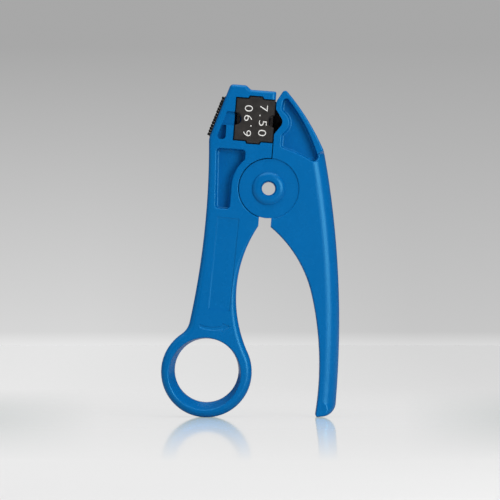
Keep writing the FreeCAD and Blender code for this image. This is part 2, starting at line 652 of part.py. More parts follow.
def cut_finger_hole(body):
    """Cuts the finger hole, which opens off-centre towards both faces."""
    middle = ("-ring_left", "hole_rise - ring_drop")
    hole = new_sketch(body, "finger_hole", lift="thick / 2")
    ring_line(hole, *middle, "ring_hole")
    pocket(body, hole, "thick")
    for side, name in ((1, "front"), (-1, "back")):
        mouth = new_sketch(body, f"funnel_mouth_{name}", lift=f"{side} * thick / 2")
        ring_line(mouth, f"{middle[0]} + funnel_grow * cos(funnel_angle)",
                  f"{middle[1]} + funnel_grow * sin(funnel_angle)", "ring_hole + funnel_grow + funnel_lip")
        throat = new_sketch(body, f"funnel_throat_{name}", lift=f"{side} * (thick / 2 - funnel_deep)")
        ring_line(throat, *middle, "ring_hole")
        before = body.Tip.Shape.Volume
        funnel = body.newObject("PartDesign::SubtractiveLoft", f"funnel_{name}")
        funnel.Profile = mouth
        funnel.Sections = [(throat, [""])]
        doc.recompute()
        if funnel.Shape.Volume >= before:
            raise RuntimeError("the funnel cuts nothing")


def cut_comb_seat(body):
    """Cuts the shallow seat of the comb into the slanted edge."""
    low = "comb_rise - comb_long / 2 - comb_gap"
    high = "comb_rise + comb_long / 2 + comb_gap"
    sketch = new_sketch(body, "comb_seat")
    outline(sketch, [slant_point(low, "-comb_seat"), slant_point(low, "comb_seat"),
                     slant_point(high, "comb_seat"), slant_point(high, "-comb_seat")])
    pocket(body, sketch, "comb_wide + 2 * comb_gap", symmetric=True)


def ring_handle():
    body = new_body("ring_handle", handle_rounded(handle_blank()))
    doc.recompute()
    cut_hub(body, True)
    pivot = new_sketch(body, "pivot_hole", lift="thick / 2")
    ring_line(pivot, "0", "0", "sleeve_radius + press_gap")
    pocket(body, pivot, "thick")
    cut_bay(body)
    cut_rebate(body)
    cut_handle_pockets(body)
    round_floors(body, "pocket_deep")
    cut_grip_back(body)
    cut_finger_hole(body)
    cut_comb_seat(body)
    round_rims(body)
    round_hub_rims(body)
    cut_label_and_arrow(body)
    return body


# Squeeze lever
def lever_blank():
    body = new_body("squeeze_lever_blank")
    sketch = new_sketch(body, "lever_outline")
    hub_top = f"sqrt(hub_radius^2 - {LEVER_FACE}^2)"
    hub_foot = "-sqrt(hub_radius^2 - crotch_right^2)"
    outline(
        sketch,
        [(LEVER_FACE, hub_top), (LEVER_FACE, "jaw_top"), ("tip_right", "tip_top"),
         ("shoulder_right", "shoulder_up"), (None, "swell_up"), FOOT_CORNER,
         ("foot_in", "-foot_drop"), (None, "-bend_drop"), ("crotch_right", "-crotch_drop"),
         ("crotch_right", hub_foot)],
        arcs={2: ("slope_radius", -1, False), 3: ("hip_radius", -1, False), 4: ("side_radius", -1, False),
              6: ("shin_radius", 1, False), 7: ("thigh_radius", 1, False), 9: ("hub_radius", -1, True)},
        guess={4: Vector(value("shoulder_right + (shoulder_up - swell_up) / 5"), value("swell_up"), 0),
               7: Vector(value("crotch_right + (foot_in - crotch_right) * 4 / 5"), -value("bend_drop"), 0)},
        smooth={4, 7})
    pad(body, sketch, "thick", symmetric=True)
    round_corners(body, [("tip_right", "tip_top")], "tip_round")
    round_corners(body, [("shoulder_right", "shoulder_up")], "shoulder_round")
    round_corners(body, [FOOT_CORNER], "foot_round")
    round_corners(body, [("foot_in", "-foot_drop")], "toe_round")
    return body


def lever_rounded(blank):
    """The blank with a large round along its outer side and a small one along its inner side."""
    seam = value(LEVER_FACE)
    hub = value("hub_radius")
    stop = value("crotch_right")
    heel = value("foot_slope - foot_drop + foot_round / 2")

    def keep_sharp(ends):
        on_seam = all(abs(end.x - seam) < 0.001 for end in ends)
        on_hub = all(abs(math.hypot(end.x, end.z) - hub) < 0.001 for end in ends)
        on_stop = all(abs(end.x - stop) < 0.001 for end in ends)
        return on_seam or on_hub or on_stop

    def radius_at(end):
        if end.x > value("(tip_right + shoulder_right) / 2") and end.z > value("swell_up") - 0.01:
            return value("swell_round")
        outside = end.x > value("shoulder_right") and end.z > heel
        return value("lever_round" if outside else "lever_edge")

    return round_outline(blank, "squeeze_lever_rounded", keep_sharp, radius_at)


def cut_jaw(body):
    """Cuts the cable notch through the front wall of the jaw and the slot of the anvil behind it."""
    reach = "cart_gap"
    mouth = f"vee_half * (1 + {reach} / vee_deep)"
    apex = f"{LEVER_FACE} + vee_deep"
    notch = new_sketch(body, "cable_notch", lift="thick / 2")
    outline(notch, [(f"{LEVER_FACE} - {reach}", f"cart_up - {mouth}"), (apex, "cart_up"),
                    (f"{LEVER_FACE} - {reach}", f"cart_up + {mouth}")])
    pocket(body, notch, "vee_wall")
    round_corners(body, [(apex, "cart_up")], "vee_round")
    ends = [(LEVER_FACE, "cart_up - vee_half"), (LEVER_FACE, "cart_up + vee_half")]
    round_corners(body, ends, "mouth_round")
    slot = new_sketch(body, "anvil_slot", lift="-thick / 2")
    rectangle(slot, f"{HANDLE_FACE} - flange_lap - {reach}", "cart_up - anvil_half",
              f"{LEVER_FACE} + anvil_deep", "cart_up + anvil_half")
    pocket(body, slot, "thick - vee_wall", reverse=True)


def flange(body, low, high):
    """Adds a length of the thin flange at the back that closes the slit between the jaws."""
    sketch = new_sketch(body, "slit_flange", lift="flange_sink - thick / 2")
    rectangle(sketch, f"{HANDLE_FACE} - flange_lap", low, f"{LEVER_FACE} + flange_thick", high)
    pad(body, sketch, "flange_thick")


def cut_lever_pockets(body):
    """Cuts the pocket beside the jaw at the front, and a plainer one at the back."""
    top = ("tip_right", "tip_top - jaw_cap")
    outer = ("jaw_out", "jaw_sag")
    inner = (f"{LEVER_FACE} + jaw_wall + jaw_lean", "jaw_floor")
    below = (f"{LEVER_FACE} + jaw_wall + jaw_lean", "cart_up - vee_half")
    beside = (f"{LEVER_FACE} + vee_deep + vee_cover", "cart_up")
    above = (f"{LEVER_FACE} + jaw_wall", "cart_up + vee_half")
    front = new_sketch(body, "jaw_pocket_front", lift="thick / 2")
    outline(front, [top, outer, inner, below, beside, above],
            arcs={0: ("jaw_bulge", -1, False), 1: ("floor_bulge", 1, False)})
    pocket(body, front, "jaw_pocket")
    round_corners(body, [top, inner], "tip_round")
    round_corners(body, [outer], "jaw_round")
    round_corners(body, [below, above], "pocket_round")
    round_corners(body, [beside], "cover_round")
    left = f"{LEVER_FACE} + anvil_deep + jaw_wall"
    back = new_sketch(body, "jaw_pocket_back", lift="-thick / 2")
    outline(back, [(left, "cart_up + vee_half"), outer, (left, "jaw_floor")],
            arcs={0: ("jaw_bulge", -1, False), 1: ("floor_bulge", 1, False)})
    pocket(body, back, "jaw_pocket", reverse=True)
    round_corners(body, [(left, "cart_up + vee_half"), (left, "jaw_floor")], "pocket_round")


def squeeze_lever():
    body = new_body("squeeze_lever", lever_rounded(lever_blank()))
    doc.recompute()
    cut_hub(body, False)
    pivot = new_sketch(body, "pivot_bore", lift="thick / 2")
    ring_line(pivot, "0", "0", "sleeve_radius + running_fit")
    pocket(body, pivot, "thick")
    flange(body, "flange_foot", "jaw_top")
    cut_jaw(body)
    cut_lever_pockets(body)
    round_floors(body, "jaw_pocket")
    round_mouths(body, "jaw_pocket")
    round_hub_rims(body)
    return body


# Anvil behind the notch, with the wall that stops the end of the cable
def cable_anvil():
    body = new_body("cable_anvil")
    jaw = LEVER_FACE
    back = f"{jaw} + anvil_deep - press_gap"
    low = "cart_up - anvil_half + press_gap"
    high = "cart_up + anvil_half - press_gap"
    apex = f"{jaw} + vee_deep"
    stop = STOP_PLANE
    block = new_sketch(body, "anvil_block", lift=stop)
    outline(block, [(jaw, low), (back, low), (back, high), (jaw, high), (jaw, "cart_up + vee_half"),
                    (apex, "cart_up"), (jaw, "cart_up - vee_half")])
    pad(body, block, f"thick / 2 - vee_wall - press_gap - {stop}")
    round_corners(body, [(apex, "cart_up")], "vee_round")
    wall = new_sketch(body, "stop_wall", lift=stop)
    rectangle(wall, jaw, low, back, high)
    pad(body, wall, f"{stop} + thick / 2 - stop_sink", reverse=True)
    flange(body, low, high)
    return body


# Hollow rivet and its cap
def turned(body, name, corners, arcs):
    """Turns a section, given as radius and depth, about the hub's axis."""
    sketch = new_sketch(body, name, role="XY_Plane")
    outline(sketch, corners, arcs=arcs)
    made = body.newObject("PartDesign::Revolution", f"{name}_turned")
    made.Profile = sketch
    made.ReferenceAxis = (sketch, ["V_Axis"])
    made.Angle = 360
    doc.recompute()


def pivot_sleeve():
    body = new_body("pivot_sleeve")
    seat = "(hub_sink - thick / 2 - running_fit)"
    tail = "thick / 2 - hub_sink + boss_edge + tail_reach"
    edge = f"{seat} - boss_edge"
    top = f"{edge} - boss_rise"
    turned(body, "sleeve_section",
           [("sleeve_bore", tail), ("sleeve_bore", edge), ("sleeve_bore + boss_flare", top),
            ("boss_flat", top), ("boss_radius", edge), ("boss_radius", seat),
            ("sleeve_radius", seat), ("sleeve_radius", tail)],
           {3: ("boss_dome", 1, False)})
    return body


def pivot_cap():
    body = new_body("pivot_cap")
    seat = "(thick / 2 - hub_sink)"
    inner = "sleeve_radius + press_gap"
    turned(body, "cap_section",
           [(inner, seat), ("boss_radius", seat), ("boss_radius", f"{seat} + boss_edge"),
            (inner, f"{seat} + boss_edge + tail_reach")],
           {2: ("boss_dome", 1, False)})
    return body


# Torsion spring: coil and two straight legs, one in each half of the hub
def torsion_spring():
    pitch = value("coil_pitch")
    radius = value("coil_radius")
    height = pitch * value("coil_turns")
    coil = Part.makeHelix(pitch, height, radius)
    coil.Placement = Placement(Vector(0, 0, -height / 2), Rotation(Vector(0, 0, 1), -90))
    slope = Vector(1, 0, pitch / (2 * math.pi * radius)).normalize() * value("leg_length")
    low = Vector(0, -radius, -height / 2)
    high = Vector(0, -radius, height / 2)
    path = Part.Wire([Part.makeLine(low - slope, low), *coil.Edges, Part.makeLine(high, high + slope)])
    section = Part.Wire([Part.makeCircle(value("wire_thick / 2"), low - slope, slope)])
    for wire in (path, section):
        wire.rotate(Vector(), Vector(1, 0, 0), 90)
    spring = doc.addObject("Part::Feature", "torsion_spring")
    spring.Shape = path.makePipeShell([section], True, True)
    return spring


# Cartridge: three plates, four blades and the rivets that hold them
def cartridge_outline(sketch):
    """Draws the outline that all three plates share: lugs above and below, a notch at each end."""
    middle = CART_MIDDLE
    left = f"{middle} - cart_wide / 2"
    right = HANDLE_FACE
    bottom = "cart_up - cart_high / 2"
    top = "cart_up + cart_high / 2"
    tip = "lug_wide / 2"
    foot = "(lug_wide / 2 + lug_slope)"
    low = -value("notch_radius") + value("cart_up")
    high = value("notch_radius") + value("cart_up")
    sides = outline(
        sketch,
        [(left, bottom), (f"{middle} - {foot}", bottom), (f"{middle} - {tip}", f"{bottom} - lug_high"),
         (f"{middle} + {tip}", f"{bottom} - lug_high"), (f"{middle} + {foot}", bottom), (right, bottom),
         (right, None), (right, None), (right, top),
         (f"{middle} + {foot}", top), (f"{middle} + {tip}", f"{top} + lug_high"),
         (f"{middle} - {tip}", f"{top} + lug_high"), (f"{middle} - {foot}", top), (left, top),
         (left, None), (left, None)],
        arcs={6: ("notch_radius", -1, False), 14: ("notch_radius", -1, False)},
        guess={6: Vector(value(right), low, 0), 7: Vector(value(right), high, 0),
               14: Vector(value(left), high, 0), 15: Vector(value(left), low, 0)})
    pin_point(sketch, sides[6][0], 3, None, "cart_up")
    pin_point(sketch, sides[14][0], 3, None, "cart_up")


def plate(label, back, front):
    """A plate of the cartridge between two planes."""
    body = new_body(label)
    sketch = new_sketch(body, f"{label}_outline", lift=back)
    cartridge_outline(sketch)
    pad(body, sketch, f"{front} - {back}")
    return body


def rivet_holes(body, plane, radius, depth, reverse=False):
    """Cuts the four rivet holes from a plane."""
    sketch = new_sketch(body, f"{body.Name}_holes", lift=plane)
    rivet_circles(sketch, f"{radius} + press_gap")
    pocket(body, sketch, depth, reverse=reverse)


def rivet_circles(sketch, radius):
    """Draws the four rivets."""
    for across in (-1, 1):
        for up in (-1, 1):
            x = f"{CART_MIDDLE} + {across} * rivet_out"
            ring_line(sketch, x, f"cart_up + {up} * rivet_up", radius)


def blade_sides(kind, end):
    """Back and edge of a blade: end a looks right, end b looks left."""
    if end == "a":
        edge = f"{HANDLE_FACE} - {kind}_inset_a"
        return f"{edge} - blade_wide", edge
    edge = f"{HANDLE_FACE} - cart_wide + {kind}_inset_b"
    return f"{edge} + blade_wide", edge


def blade_seats(body, kind, plane):
    """Cuts the seats of the two blades that lie on a plane."""
    seats = new_sketch(body, f"{kind}_seats", lift=plane)
    for end in ("a", "b"):
        left, right = sorted(blade_sides(kind, end), key=value)
        half = "(blade_high / 2 + blade_gap)"
        rectangle(seats, f"{left} - blade_gap", f"cart_up - {half}",
                  f"{right} + blade_gap", f"cart_up + {half}")
    pocket(body, seats, "blade_thick + blade_gap")


def cartridge_front_plate():
    body = plate("cartridge_front_plate", JACKET_PLANE, CART_FRONT)
    rivet_holes(body, JACKET_PLANE, "rivet_radius", "rivet_bite", reverse=True)
    face = -value(CART_FRONT)

    def on_face(edge):
        return all(abs(vertex.Y - face) < 0.001 for vertex in edge.Vertexes)

    dress(body, "Chamfer", on_face, "Size", "cart_break")
    return body


def cartridge_spacer():
    body = plate("cartridge_spacer", CORE_PLANE, JACKET_PLANE)
    blade_seats(body, "jacket", JACKET_PLANE)
    rivet_holes(body, JACKET_PLANE, "rivet_radius", "blade_pitch")
    return body


def cartridge_back_plate():
    body = plate("cartridge_back_plate", CART_BACK, CORE_PLANE)
    blade_seats(body, "core", CORE_PLANE)
    rivet_holes(body, CORE_PLANE, "rivet_radius", f"{CORE_PLANE} - {CART_BACK}")
    rivet_holes(body, CART_BACK, "rivet_head", "head_deep + press_gap", reverse=True)
    return body


def cartridge_rivets():
    body = new_body("cartridge_rivets")
    body.AllowCompound = True
    shanks = new_sketch(body, "rivet_shanks", lift=CART_BACK)
    rivet_circles(shanks, "rivet_radius")
    pad(body, shanks, f"{JACKET_PLANE} + rivet_bite - press_gap - {CART_BACK}")
    heads = new_sketch(body, "rivet_heads", lift=CART_BACK)
    rivet_circles(heads, "rivet_head")
    pad(body, heads, "head_deep")
    return body


def blade(kind, end, plane):
    """A blade with its front edge ground to a bevel."""
    body = new_body(f"{kind}_blade_{end}")
    back, edge = blade_sides(kind, end)
    left, right = sorted((back, edge), key=value)
    sketch = new_sketch(body, f"{kind}_{end}_outline", lift=f"{plane} - blade_thick")
    rectangle(sketch, left, "cart_up - blade_high / 2", right, "cart_up + blade_high / 2")
    pad(body, sketch, "blade_thick")
    front = -value(plane)
    place = value(edge)

    def on_edge(line):
        return all(math.hypot(vertex.X - place, vertex.Y - front) < 0.001 for vertex in line.Vertexes)

    dress(body, "Chamfer", on_edge, "Size", "blade_bevel")
    return body


# Comb on the slanted edge, drawn on its own axes: Z along the edge, X into the head
def comb_tape():
    body = new_body("comb_tape")
    sketch = new_sketch(body, "tape_section")
    rectangle(sketch, "comb_seat - tape_thick", "-comb_long / 2", "comb_seat", "comb_long / 2")
    pad(body, sketch, "comb_wide", symmetric=True)
    return body


def braid_comb():
    body = new_body("braid_comb")
    under = "(comb_seat - tape_thick)"
    crown = f"({under} - comb_base)"
    base = new_sketch(body, "comb_base_section")
    rectangle(base, crown, "-comb_long / 2", under, "comb_long / 2")
    pad(body, base, "comb_wide", symmetric=True)
    rows = math.floor((value("comb_long") - value("hook_thick")) / value("hook_pitch")) + 1
    columns = math.floor((value("comb_wide") - value("hook_wide")) / value("hook_column")) + 1
    run = f"({rows - 1} * hook_pitch)"
    hook = new_sketch(body, "hook_section")
    first = f"-{run} / 2"
    outline(hook, [(crown, f"{first} - hook_thick / 2"), (crown, f"{first} + hook_thick / 2"),
                   (f"{crown} - hook_high", f"{first} + hook_thick / 2 - hook_thick / 6"),
                   (f"{crown} - hook_high", f"{first} - hook_thick / 2 - hook_thick / 6")])
    row = pad(body, hook, "comb_wide", symmetric=True)
    pattern = body.newObject("PartDesign::LinearPattern", "hook_rows")
    pattern.Originals = [row]
    axis = next(feature for feature in body.Origin.OriginFeatures if feature.Role == "Z_Axis")
    pattern.Direction = (axis, [""])
    pattern.setExpression("Length", bound(run))
    pattern.Occurrences = rows
    body.Tip = pattern
    doc.recompute()
    gaps = new_sketch(body, "hook_gaps", role="YZ_Plane", lift=crown)
    for step in range(columns + 1):
        middle = f"({step} - {columns} / 2) * hook_column"
        half = "(hook_column - hook_wide) / 2"
        rectangle(gaps, f"{middle} - {half}", "-comb_long", f"{middle} + {half}", "comb_long")
    pocket(body, gaps, "2 * hook_high")
    return body


def stand():
    """The turn and lift that stand the tool on its ring and on the toe of its lever."""
    ring = Vector(-value("ring_left"), -value("ring_drop"), 0)
    toe = Vector(value("foot_in + toe_round"), value("toe_round - foot_drop"), 0)
    reach = ring - toe
    lean = math.atan2(reach.y, reach.x) - math.pi
    lean -= math.asin((value("toe_round") - value("ring_outer")) / reach.Length)
    turn = Placement(Vector(), Rotation(Vector(0, 1, 0), math.degrees(lean)))
    floor = math.sin(lean) * ring.x - math.cos(lean) * ring.y + value("ring_outer")
    return Placement(Vector(0, 0, floor), Rotation()).multiply(turn)


def comb_place():
    """The place of the comb's own axes on the slanted edge."""
    x, z = slant_point("comb_rise", "0")
    slope = math.degrees(math.atan(value(SLANT)))
    return Placement(Vector(value(x), 0, value(z)), Rotation(Vector(0, 1, 0), slope))


tool_pieces = [
    ring_handle(), squeeze_lever(), cable_anvil(), pivot_sleeve(), pivot_cap(), torsion_spring(),
    cartridge_front_plate(), cartridge_spacer(), cartridge_back_plate(), cartridge_rivets(),
    blade("jacket", "a", JACKET_PLANE), blade("jacket", "b", JACKET_PLANE),
    blade("core", "a", CORE_PLANE), blade("core", "b", CORE_PLANE)]
comb_pieces = [comb_tape(), braid_comb()]
doc.recompute()

# Stand the tool up, with the middle of its box over the origin
standing = stand()
for piece in tool_pieces:
    piece.Placement = standing
for piece in comb_pieces:
    piece.Placement = standing.multiply(comb_place())
doc.recompute()
box = Part.makeCompound([piece.Shape for piece in tool_pieces + comb_pieces]).optimalBoundingBox(False, False)
centred = Placement(Vector(-box.Center.x, -box.Center.y, -box.ZMin), Rotation())
for piece in tool_pieces + comb_pieces:
    piece.Placement = centred.multiply(piece.Placement)
doc.recompute()

failed = [item.Name for item in doc.Objects if {"Invalid", "Error"} & set(item.State)]
for piece in tool_pieces + comb_pieces:
    if piece.Shape.isNull() or not piece.Shape.isValid():
        failed.append(piece.Label)
if failed:
    raise RuntimeError(f"failed: {failed}")

os.makedirs("parts", exist_ok=True)
for piece in tool_pieces + comb_pieces:
    piece.Shape.exportStep(f"parts/{piece.Label}.step")
    print(f"{piece.Label}: {len(piece.Shape.Solids)} solid(s), {piece.Shape.Volume:.1f} mm3")
print("hub axis at", standing.Base + centred.Base, "lean", math.degrees(standing.Rotation.Angle))
print("box", [round(side, 3) for side in (box.XLength, box.YLength, box.ZLength, box.ZMin)])
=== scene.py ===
"""Looks of the coaxial cable stripper: finishes, added pieces, studio and camera."""

from __future__ import annotations

import json
import logging
import math
import random
from dataclasses import dataclass, field
from enum import Enum
from functools import cache

import bmesh
import bpy
from bmesh.types import BMesh, BMVert
from bpy.types import ID, Material, Mesh, Node, NodeSocket, NodeTree, Object
from mathutils import Matrix, Vector


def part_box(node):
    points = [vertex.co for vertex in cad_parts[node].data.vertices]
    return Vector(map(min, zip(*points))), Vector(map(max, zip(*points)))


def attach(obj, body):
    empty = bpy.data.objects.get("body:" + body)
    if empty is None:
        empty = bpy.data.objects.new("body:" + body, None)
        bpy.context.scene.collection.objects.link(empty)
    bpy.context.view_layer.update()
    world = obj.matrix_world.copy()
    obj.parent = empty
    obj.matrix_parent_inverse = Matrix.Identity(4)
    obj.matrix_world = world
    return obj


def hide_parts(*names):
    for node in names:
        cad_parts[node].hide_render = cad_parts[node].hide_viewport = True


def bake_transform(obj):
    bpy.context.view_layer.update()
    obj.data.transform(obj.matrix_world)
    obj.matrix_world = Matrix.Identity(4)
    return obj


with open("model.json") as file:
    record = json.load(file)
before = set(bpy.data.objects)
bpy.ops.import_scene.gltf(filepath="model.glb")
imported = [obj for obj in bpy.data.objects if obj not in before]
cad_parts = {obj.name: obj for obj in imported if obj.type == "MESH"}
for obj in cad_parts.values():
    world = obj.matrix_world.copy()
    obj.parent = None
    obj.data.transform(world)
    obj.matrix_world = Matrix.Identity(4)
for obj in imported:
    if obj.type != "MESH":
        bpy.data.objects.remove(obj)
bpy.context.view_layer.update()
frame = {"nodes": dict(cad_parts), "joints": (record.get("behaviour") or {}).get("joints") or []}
MM = 0.001

Rgb = tuple[float, float, float]
Xyz = tuple[float, float, float]
Span = tuple[float, float]
Profile = list[Span]
Sockets = dict[str, NodeSocket]
WHITE: Rgb = (1.0, 1.0, 1.0)
PIVOT = "lever_pivot"
TOOL_LEAN = math.radians(4.379)

log = logging.getLogger("cable_stripper")


class Effect(Enum):
    """Surface effects that several finishes share, each one node group."""

    GRAIN = "moulded_grain"
    TONE = "cloudy_tone"
    GLOSS = "handled_gloss"
    EDGES = "rubbed_edges"
    LINES = "ground_lines"


class Mixed(Enum):
    """What a mix node mixes, by the ending of its sockets' names."""

    COLOUR = "Color"
    NUMBER = "Float"


class Reading(Enum):
    """Which way a printed size is read on the cartridge."""

    UPWARD = 1
    DOWNWARD = -1


def linear(red: int, green: int, blue: int) -> Rgb:
    """Turns a colour of 0 to 255 per channel into the linear colour of the shaders.

    Args:
        red: Red as it is seen on a screen.
        green: Green as it is seen on a screen.
        blue: Blue as it is seen on a screen.

    Returns:
        The three linear values.
    """
    full = 255
    low_end = 0.04045
    low_slope = 12.92
    lift = 0.055
    power = 2.4
    values = []
    for channel in (red, green, blue):
        part = channel / full
        values.append(part / low_slope if part <= low_end else ((part + lift) / (1 + lift)) ** power)
    return (values[0], values[1], values[2])


@dataclass
class Wiring:
    """A node tree, with short calls that add nodes and join them."""

    tree: NodeTree

    def add(self, kind: str, inputs: dict[str, object] | None = None, **settings: object) -> Node:
        """Adds a node.

        Args:
            kind: The node's type in Blender.
            inputs: Socket names with a value for each, or the socket that feeds it.
            settings: Attributes of the node itself.

        Returns:
            The new node.
        """
        node = self.tree.nodes.new(kind)
        for name, value in settings.items():
            setattr(node, name, value)
        for name, value in (inputs or {}).items():
            self.feed(node.inputs[name], value)
        return node

    def feed(self, socket: NodeSocket, value: object) -> None:
        """Links a socket to another one, or sets its value.

        Args:
            socket: The input to feed.
            value: An output socket, a number, a colour or a vector.
        """
        if isinstance(value, NodeSocket):
            self.tree.links.new(value, socket)
        elif socket.type == "RGBA" and len(value) == 3:
            socket.default_value = (*value, 1.0)
        else:
            socket.default_value = value

    def math(self, operation: str, first: object, second: object, clamp: bool = False) -> NodeSocket:
        """Works with two numbers.

        Args:
            operation: The operation's name in Blender.
            first: First number or socket.
            second: Second number or socket.
            clamp: Whether the result stays from 0 to 1.

        Returns:
            The result's socket.
        """
        node = self.add("ShaderNodeMath", operation=operation, use_clamp=clamp)
        self.feed(node.inputs[0], first)
        self.feed(node.inputs[1], second)
        return node.outputs[0]

    def blend(self, share: object, first: object, second: object,
              mixed: Mixed = Mixed.COLOUR) -> NodeSocket:
        """Mixes two colours or two numbers.

        Args:
            share: How much of the second one shows.
            first: First value or socket.
            second: Second value or socket.
            mixed: Whether they are colours or numbers.

        Returns:
            The mix's socket.
        """
        node = self.add("ShaderNodeMix", data_type="RGBA" if mixed is Mixed.COLOUR else "FLOAT")
        sockets = {socket.identifier: socket for socket in node.inputs}
        self.feed(sockets["Factor_Float"], share)
        self.feed(sockets[f"A_{mixed.value}"], first)
        self.feed(sockets[f"B_{mixed.value}"], second)
        return next(socket for socket in node.outputs if socket.identifier == f"Result_{mixed.value}")

    def span(self, value: object, ends: list[tuple[object, object]]) -> NodeSocket:
        """Maps a number from one range to another, held at the ends.

        Args:
            value: The number's socket.
            ends: Both ends, each as a number or socket before and after.

        Returns:
            The mapped number's socket.
        """
        (from_low, to_low), (from_high, to_high) = ends
        before = {"Value": value, "From Min": from_low, "From Max": from_high}
        after = {"To Min": to_low, "To Max": to_high}
        return self.add("ShaderNodeMapRange", {**before, **after}).outputs["Result"]

    def noise(self, scale: object, detail: float, stretch: Xyz = (1.0, 1.0, 1.0)) -> NodeSocket:
        """Adds noise that stays with the object.

        Args:
            scale: Lumps per metre, a number or a socket.
            detail: Octaves of finer noise.
            stretch: Scale of the place along each axis.

        Returns:
            The noise's value.
        """
        place = self.add("ShaderNodeTexCoord").outputs["Object"]
        moved = self.add("ShaderNodeMapping", {"Vector": place, "Scale": stretch}).outputs["Vector"]
        lumps = {"Vector": moved, "Scale": scale, "Detail": detail}
        return self.add("ShaderNodeTexNoise", lumps).outputs["Fac"]


class EffectShelf:
    """Builds each shared effect once and hands it out."""

    noise_middle = 0.5
    cell_share = 0.6
    grain_detail = 3.0
    tone_detail = 4.0
    gloss_detail = 6.0
    bevel_samples = 6
    edge_wear_and_highlight_scale = 900.0
    edge_wear_and_highlight_detail = 3.0
    line_detail = 2.0
    line_stretch: Xyz = (1.0, 1.0, 0.04)

    def __init__(self) -> None:
        """Starts with no group built."""
        self.built: dict[Effect, NodeTree] = {}

    def take(self, effect: Effect) -> NodeTree:
        """Gives the node group of an effect.

        Args:
            effect: The effect that is wanted.

        Returns:
            Its node group, built on first use.
        """
        if effect not in self.built:
            makers = {
                Effect.GRAIN: self.grain, Effect.TONE: self.tone, Effect.GLOSS: self.gloss,
                Effect.EDGES: self.edges, Effect.LINES: self.lines,
            }
            self.built[effect] = makers[effect]()
        return self.built[effect]

    def start(self, effect: Effect, inputs: list[str], output: str) -> tuple[Wiring, Sockets, NodeSocket]:
        """Makes an empty group with its sockets.

        Args:
            effect: The effect that the group is for.
            inputs: Names of its inputs. Color is a colour, the rest are numbers.
            output: Name of its one output.

        Returns:
            The wiring, the inputs by name, and the socket that the output is fed through.
        """
        group = bpy.data.node_groups.new(effect.value, "ShaderNodeTree")
        for name in inputs:
            group.interface.new_socket(name, in_out="INPUT", socket_type=self.kind(name))
        group.interface.new_socket(output, in_out="OUTPUT", socket_type=self.kind(output))
        wiring = Wiring(group)
        given = wiring.add("NodeGroupInput").outputs
        ends = wiring.add("NodeGroupOutput").inputs
        return wiring, {name: given[name] for name in inputs}, ends[output]

    def kind(self, name: str) -> str:
        """Gives the type of a group's socket by its name."""
        return "NodeSocketColor" if name == "Color" else "NodeSocketFloat"

    def grain(self) -> NodeTree:
        """Builds the fine grain that a spark-eroded mould leaves.

        Returns:
            The group.
        """
        wiring, given, end = self.start(Effect.GRAIN, ["Scale"], "Height")
        place = wiring.add("ShaderNodeTexCoord").outputs["Object"]
        sizes = {"Vector": place, "Scale": given["Scale"]}
        cells = wiring.add("ShaderNodeTexVoronoi", sizes, feature="SMOOTH_F1").outputs["Distance"]
        fine = wiring.noise(given["Scale"], self.grain_detail)
        wiring.feed(end, wiring.math("ADD", wiring.math("MULTIPLY", cells, self.cell_share), fine))
        return wiring.tree

    def tone(self) -> NodeTree:
        """Builds the faint clouds of lighter and darker colour in a moulding.

        Returns:
            The group.
        """
        wiring, given, end = self.start(Effect.TONE, ["Color", "Scale", "Spread"], "Color")
        clouds = wiring.math("SUBTRACT", wiring.noise(given["Scale"], self.tone_detail), self.noise_middle)
        value = wiring.math("ADD", wiring.math("MULTIPLY", clouds, given["Spread"]), 1.0)
        shifted = wiring.add("ShaderNodeHueSaturation", {"Value": value, "Color": given["Color"]})
        wiring.feed(end, shifted.outputs["Color"])
        return wiring.tree

    def gloss(self) -> NodeTree:
        """Builds the uneven shine of a surface that is handled.

        Returns:
            The group.
        """
        wiring, given, end = self.start(Effect.GLOSS, ["Base", "Scale", "Spread"], "Roughness")
        lumps = wiring.noise(given["Scale"], self.gloss_detail)
        patches = wiring.math("SUBTRACT", lumps, self.noise_middle)
        shift = wiring.math("MULTIPLY", patches, given["Spread"])
        wiring.feed(end, wiring.math("ADD", given["Base"], shift, clamp=True))
        return wiring.tree

    def edges(self) -> NodeTree:
        """Builds the mask of the paler edges, partly wear from rubbing and partly a painted highlight
        where the edges catch the light.

        Returns:
            The group.
        """
        wiring, given, end = self.start(Effect.EDGES, ["Radius", "Gain"], "Mask")
        bevel = wiring.add("ShaderNodeBevel", {"Radius": given["Radius"]}, samples=self.bevel_samples)
        true = wiring.add("ShaderNodeNewGeometry").outputs["Normal"]
        along = wiring.add("ShaderNodeVectorMath", operation="DOT_PRODUCT")
        wiring.feed(along.inputs[0], bevel.outputs["Normal"])
        wiring.feed(along.inputs[1], true)
        turned = wiring.math("SUBTRACT", 1.0, along.outputs["Value"])
        broken = wiring.math("MULTIPLY", turned, wiring.noise(self.edge_wear_and_highlight_scale, self.edge_wear_and_highlight_detail))
        wiring.feed(end, wiring.math("MULTIPLY", broken, given["Gain"], clamp=True))
        return wiring.tree

    def lines(self) -> NodeTree:
        """Builds the fine lines that grinding or drawing leaves in steel.

        Returns:
            The group.
        """
        wiring, given, end = self.start(Effect.LINES, ["Scale"], "Height")
        wiring.feed(end, wiring.noise(given["Scale"], self.line_detail, self.line_stretch))
        return wiring.tree


SHELF = EffectShelf()


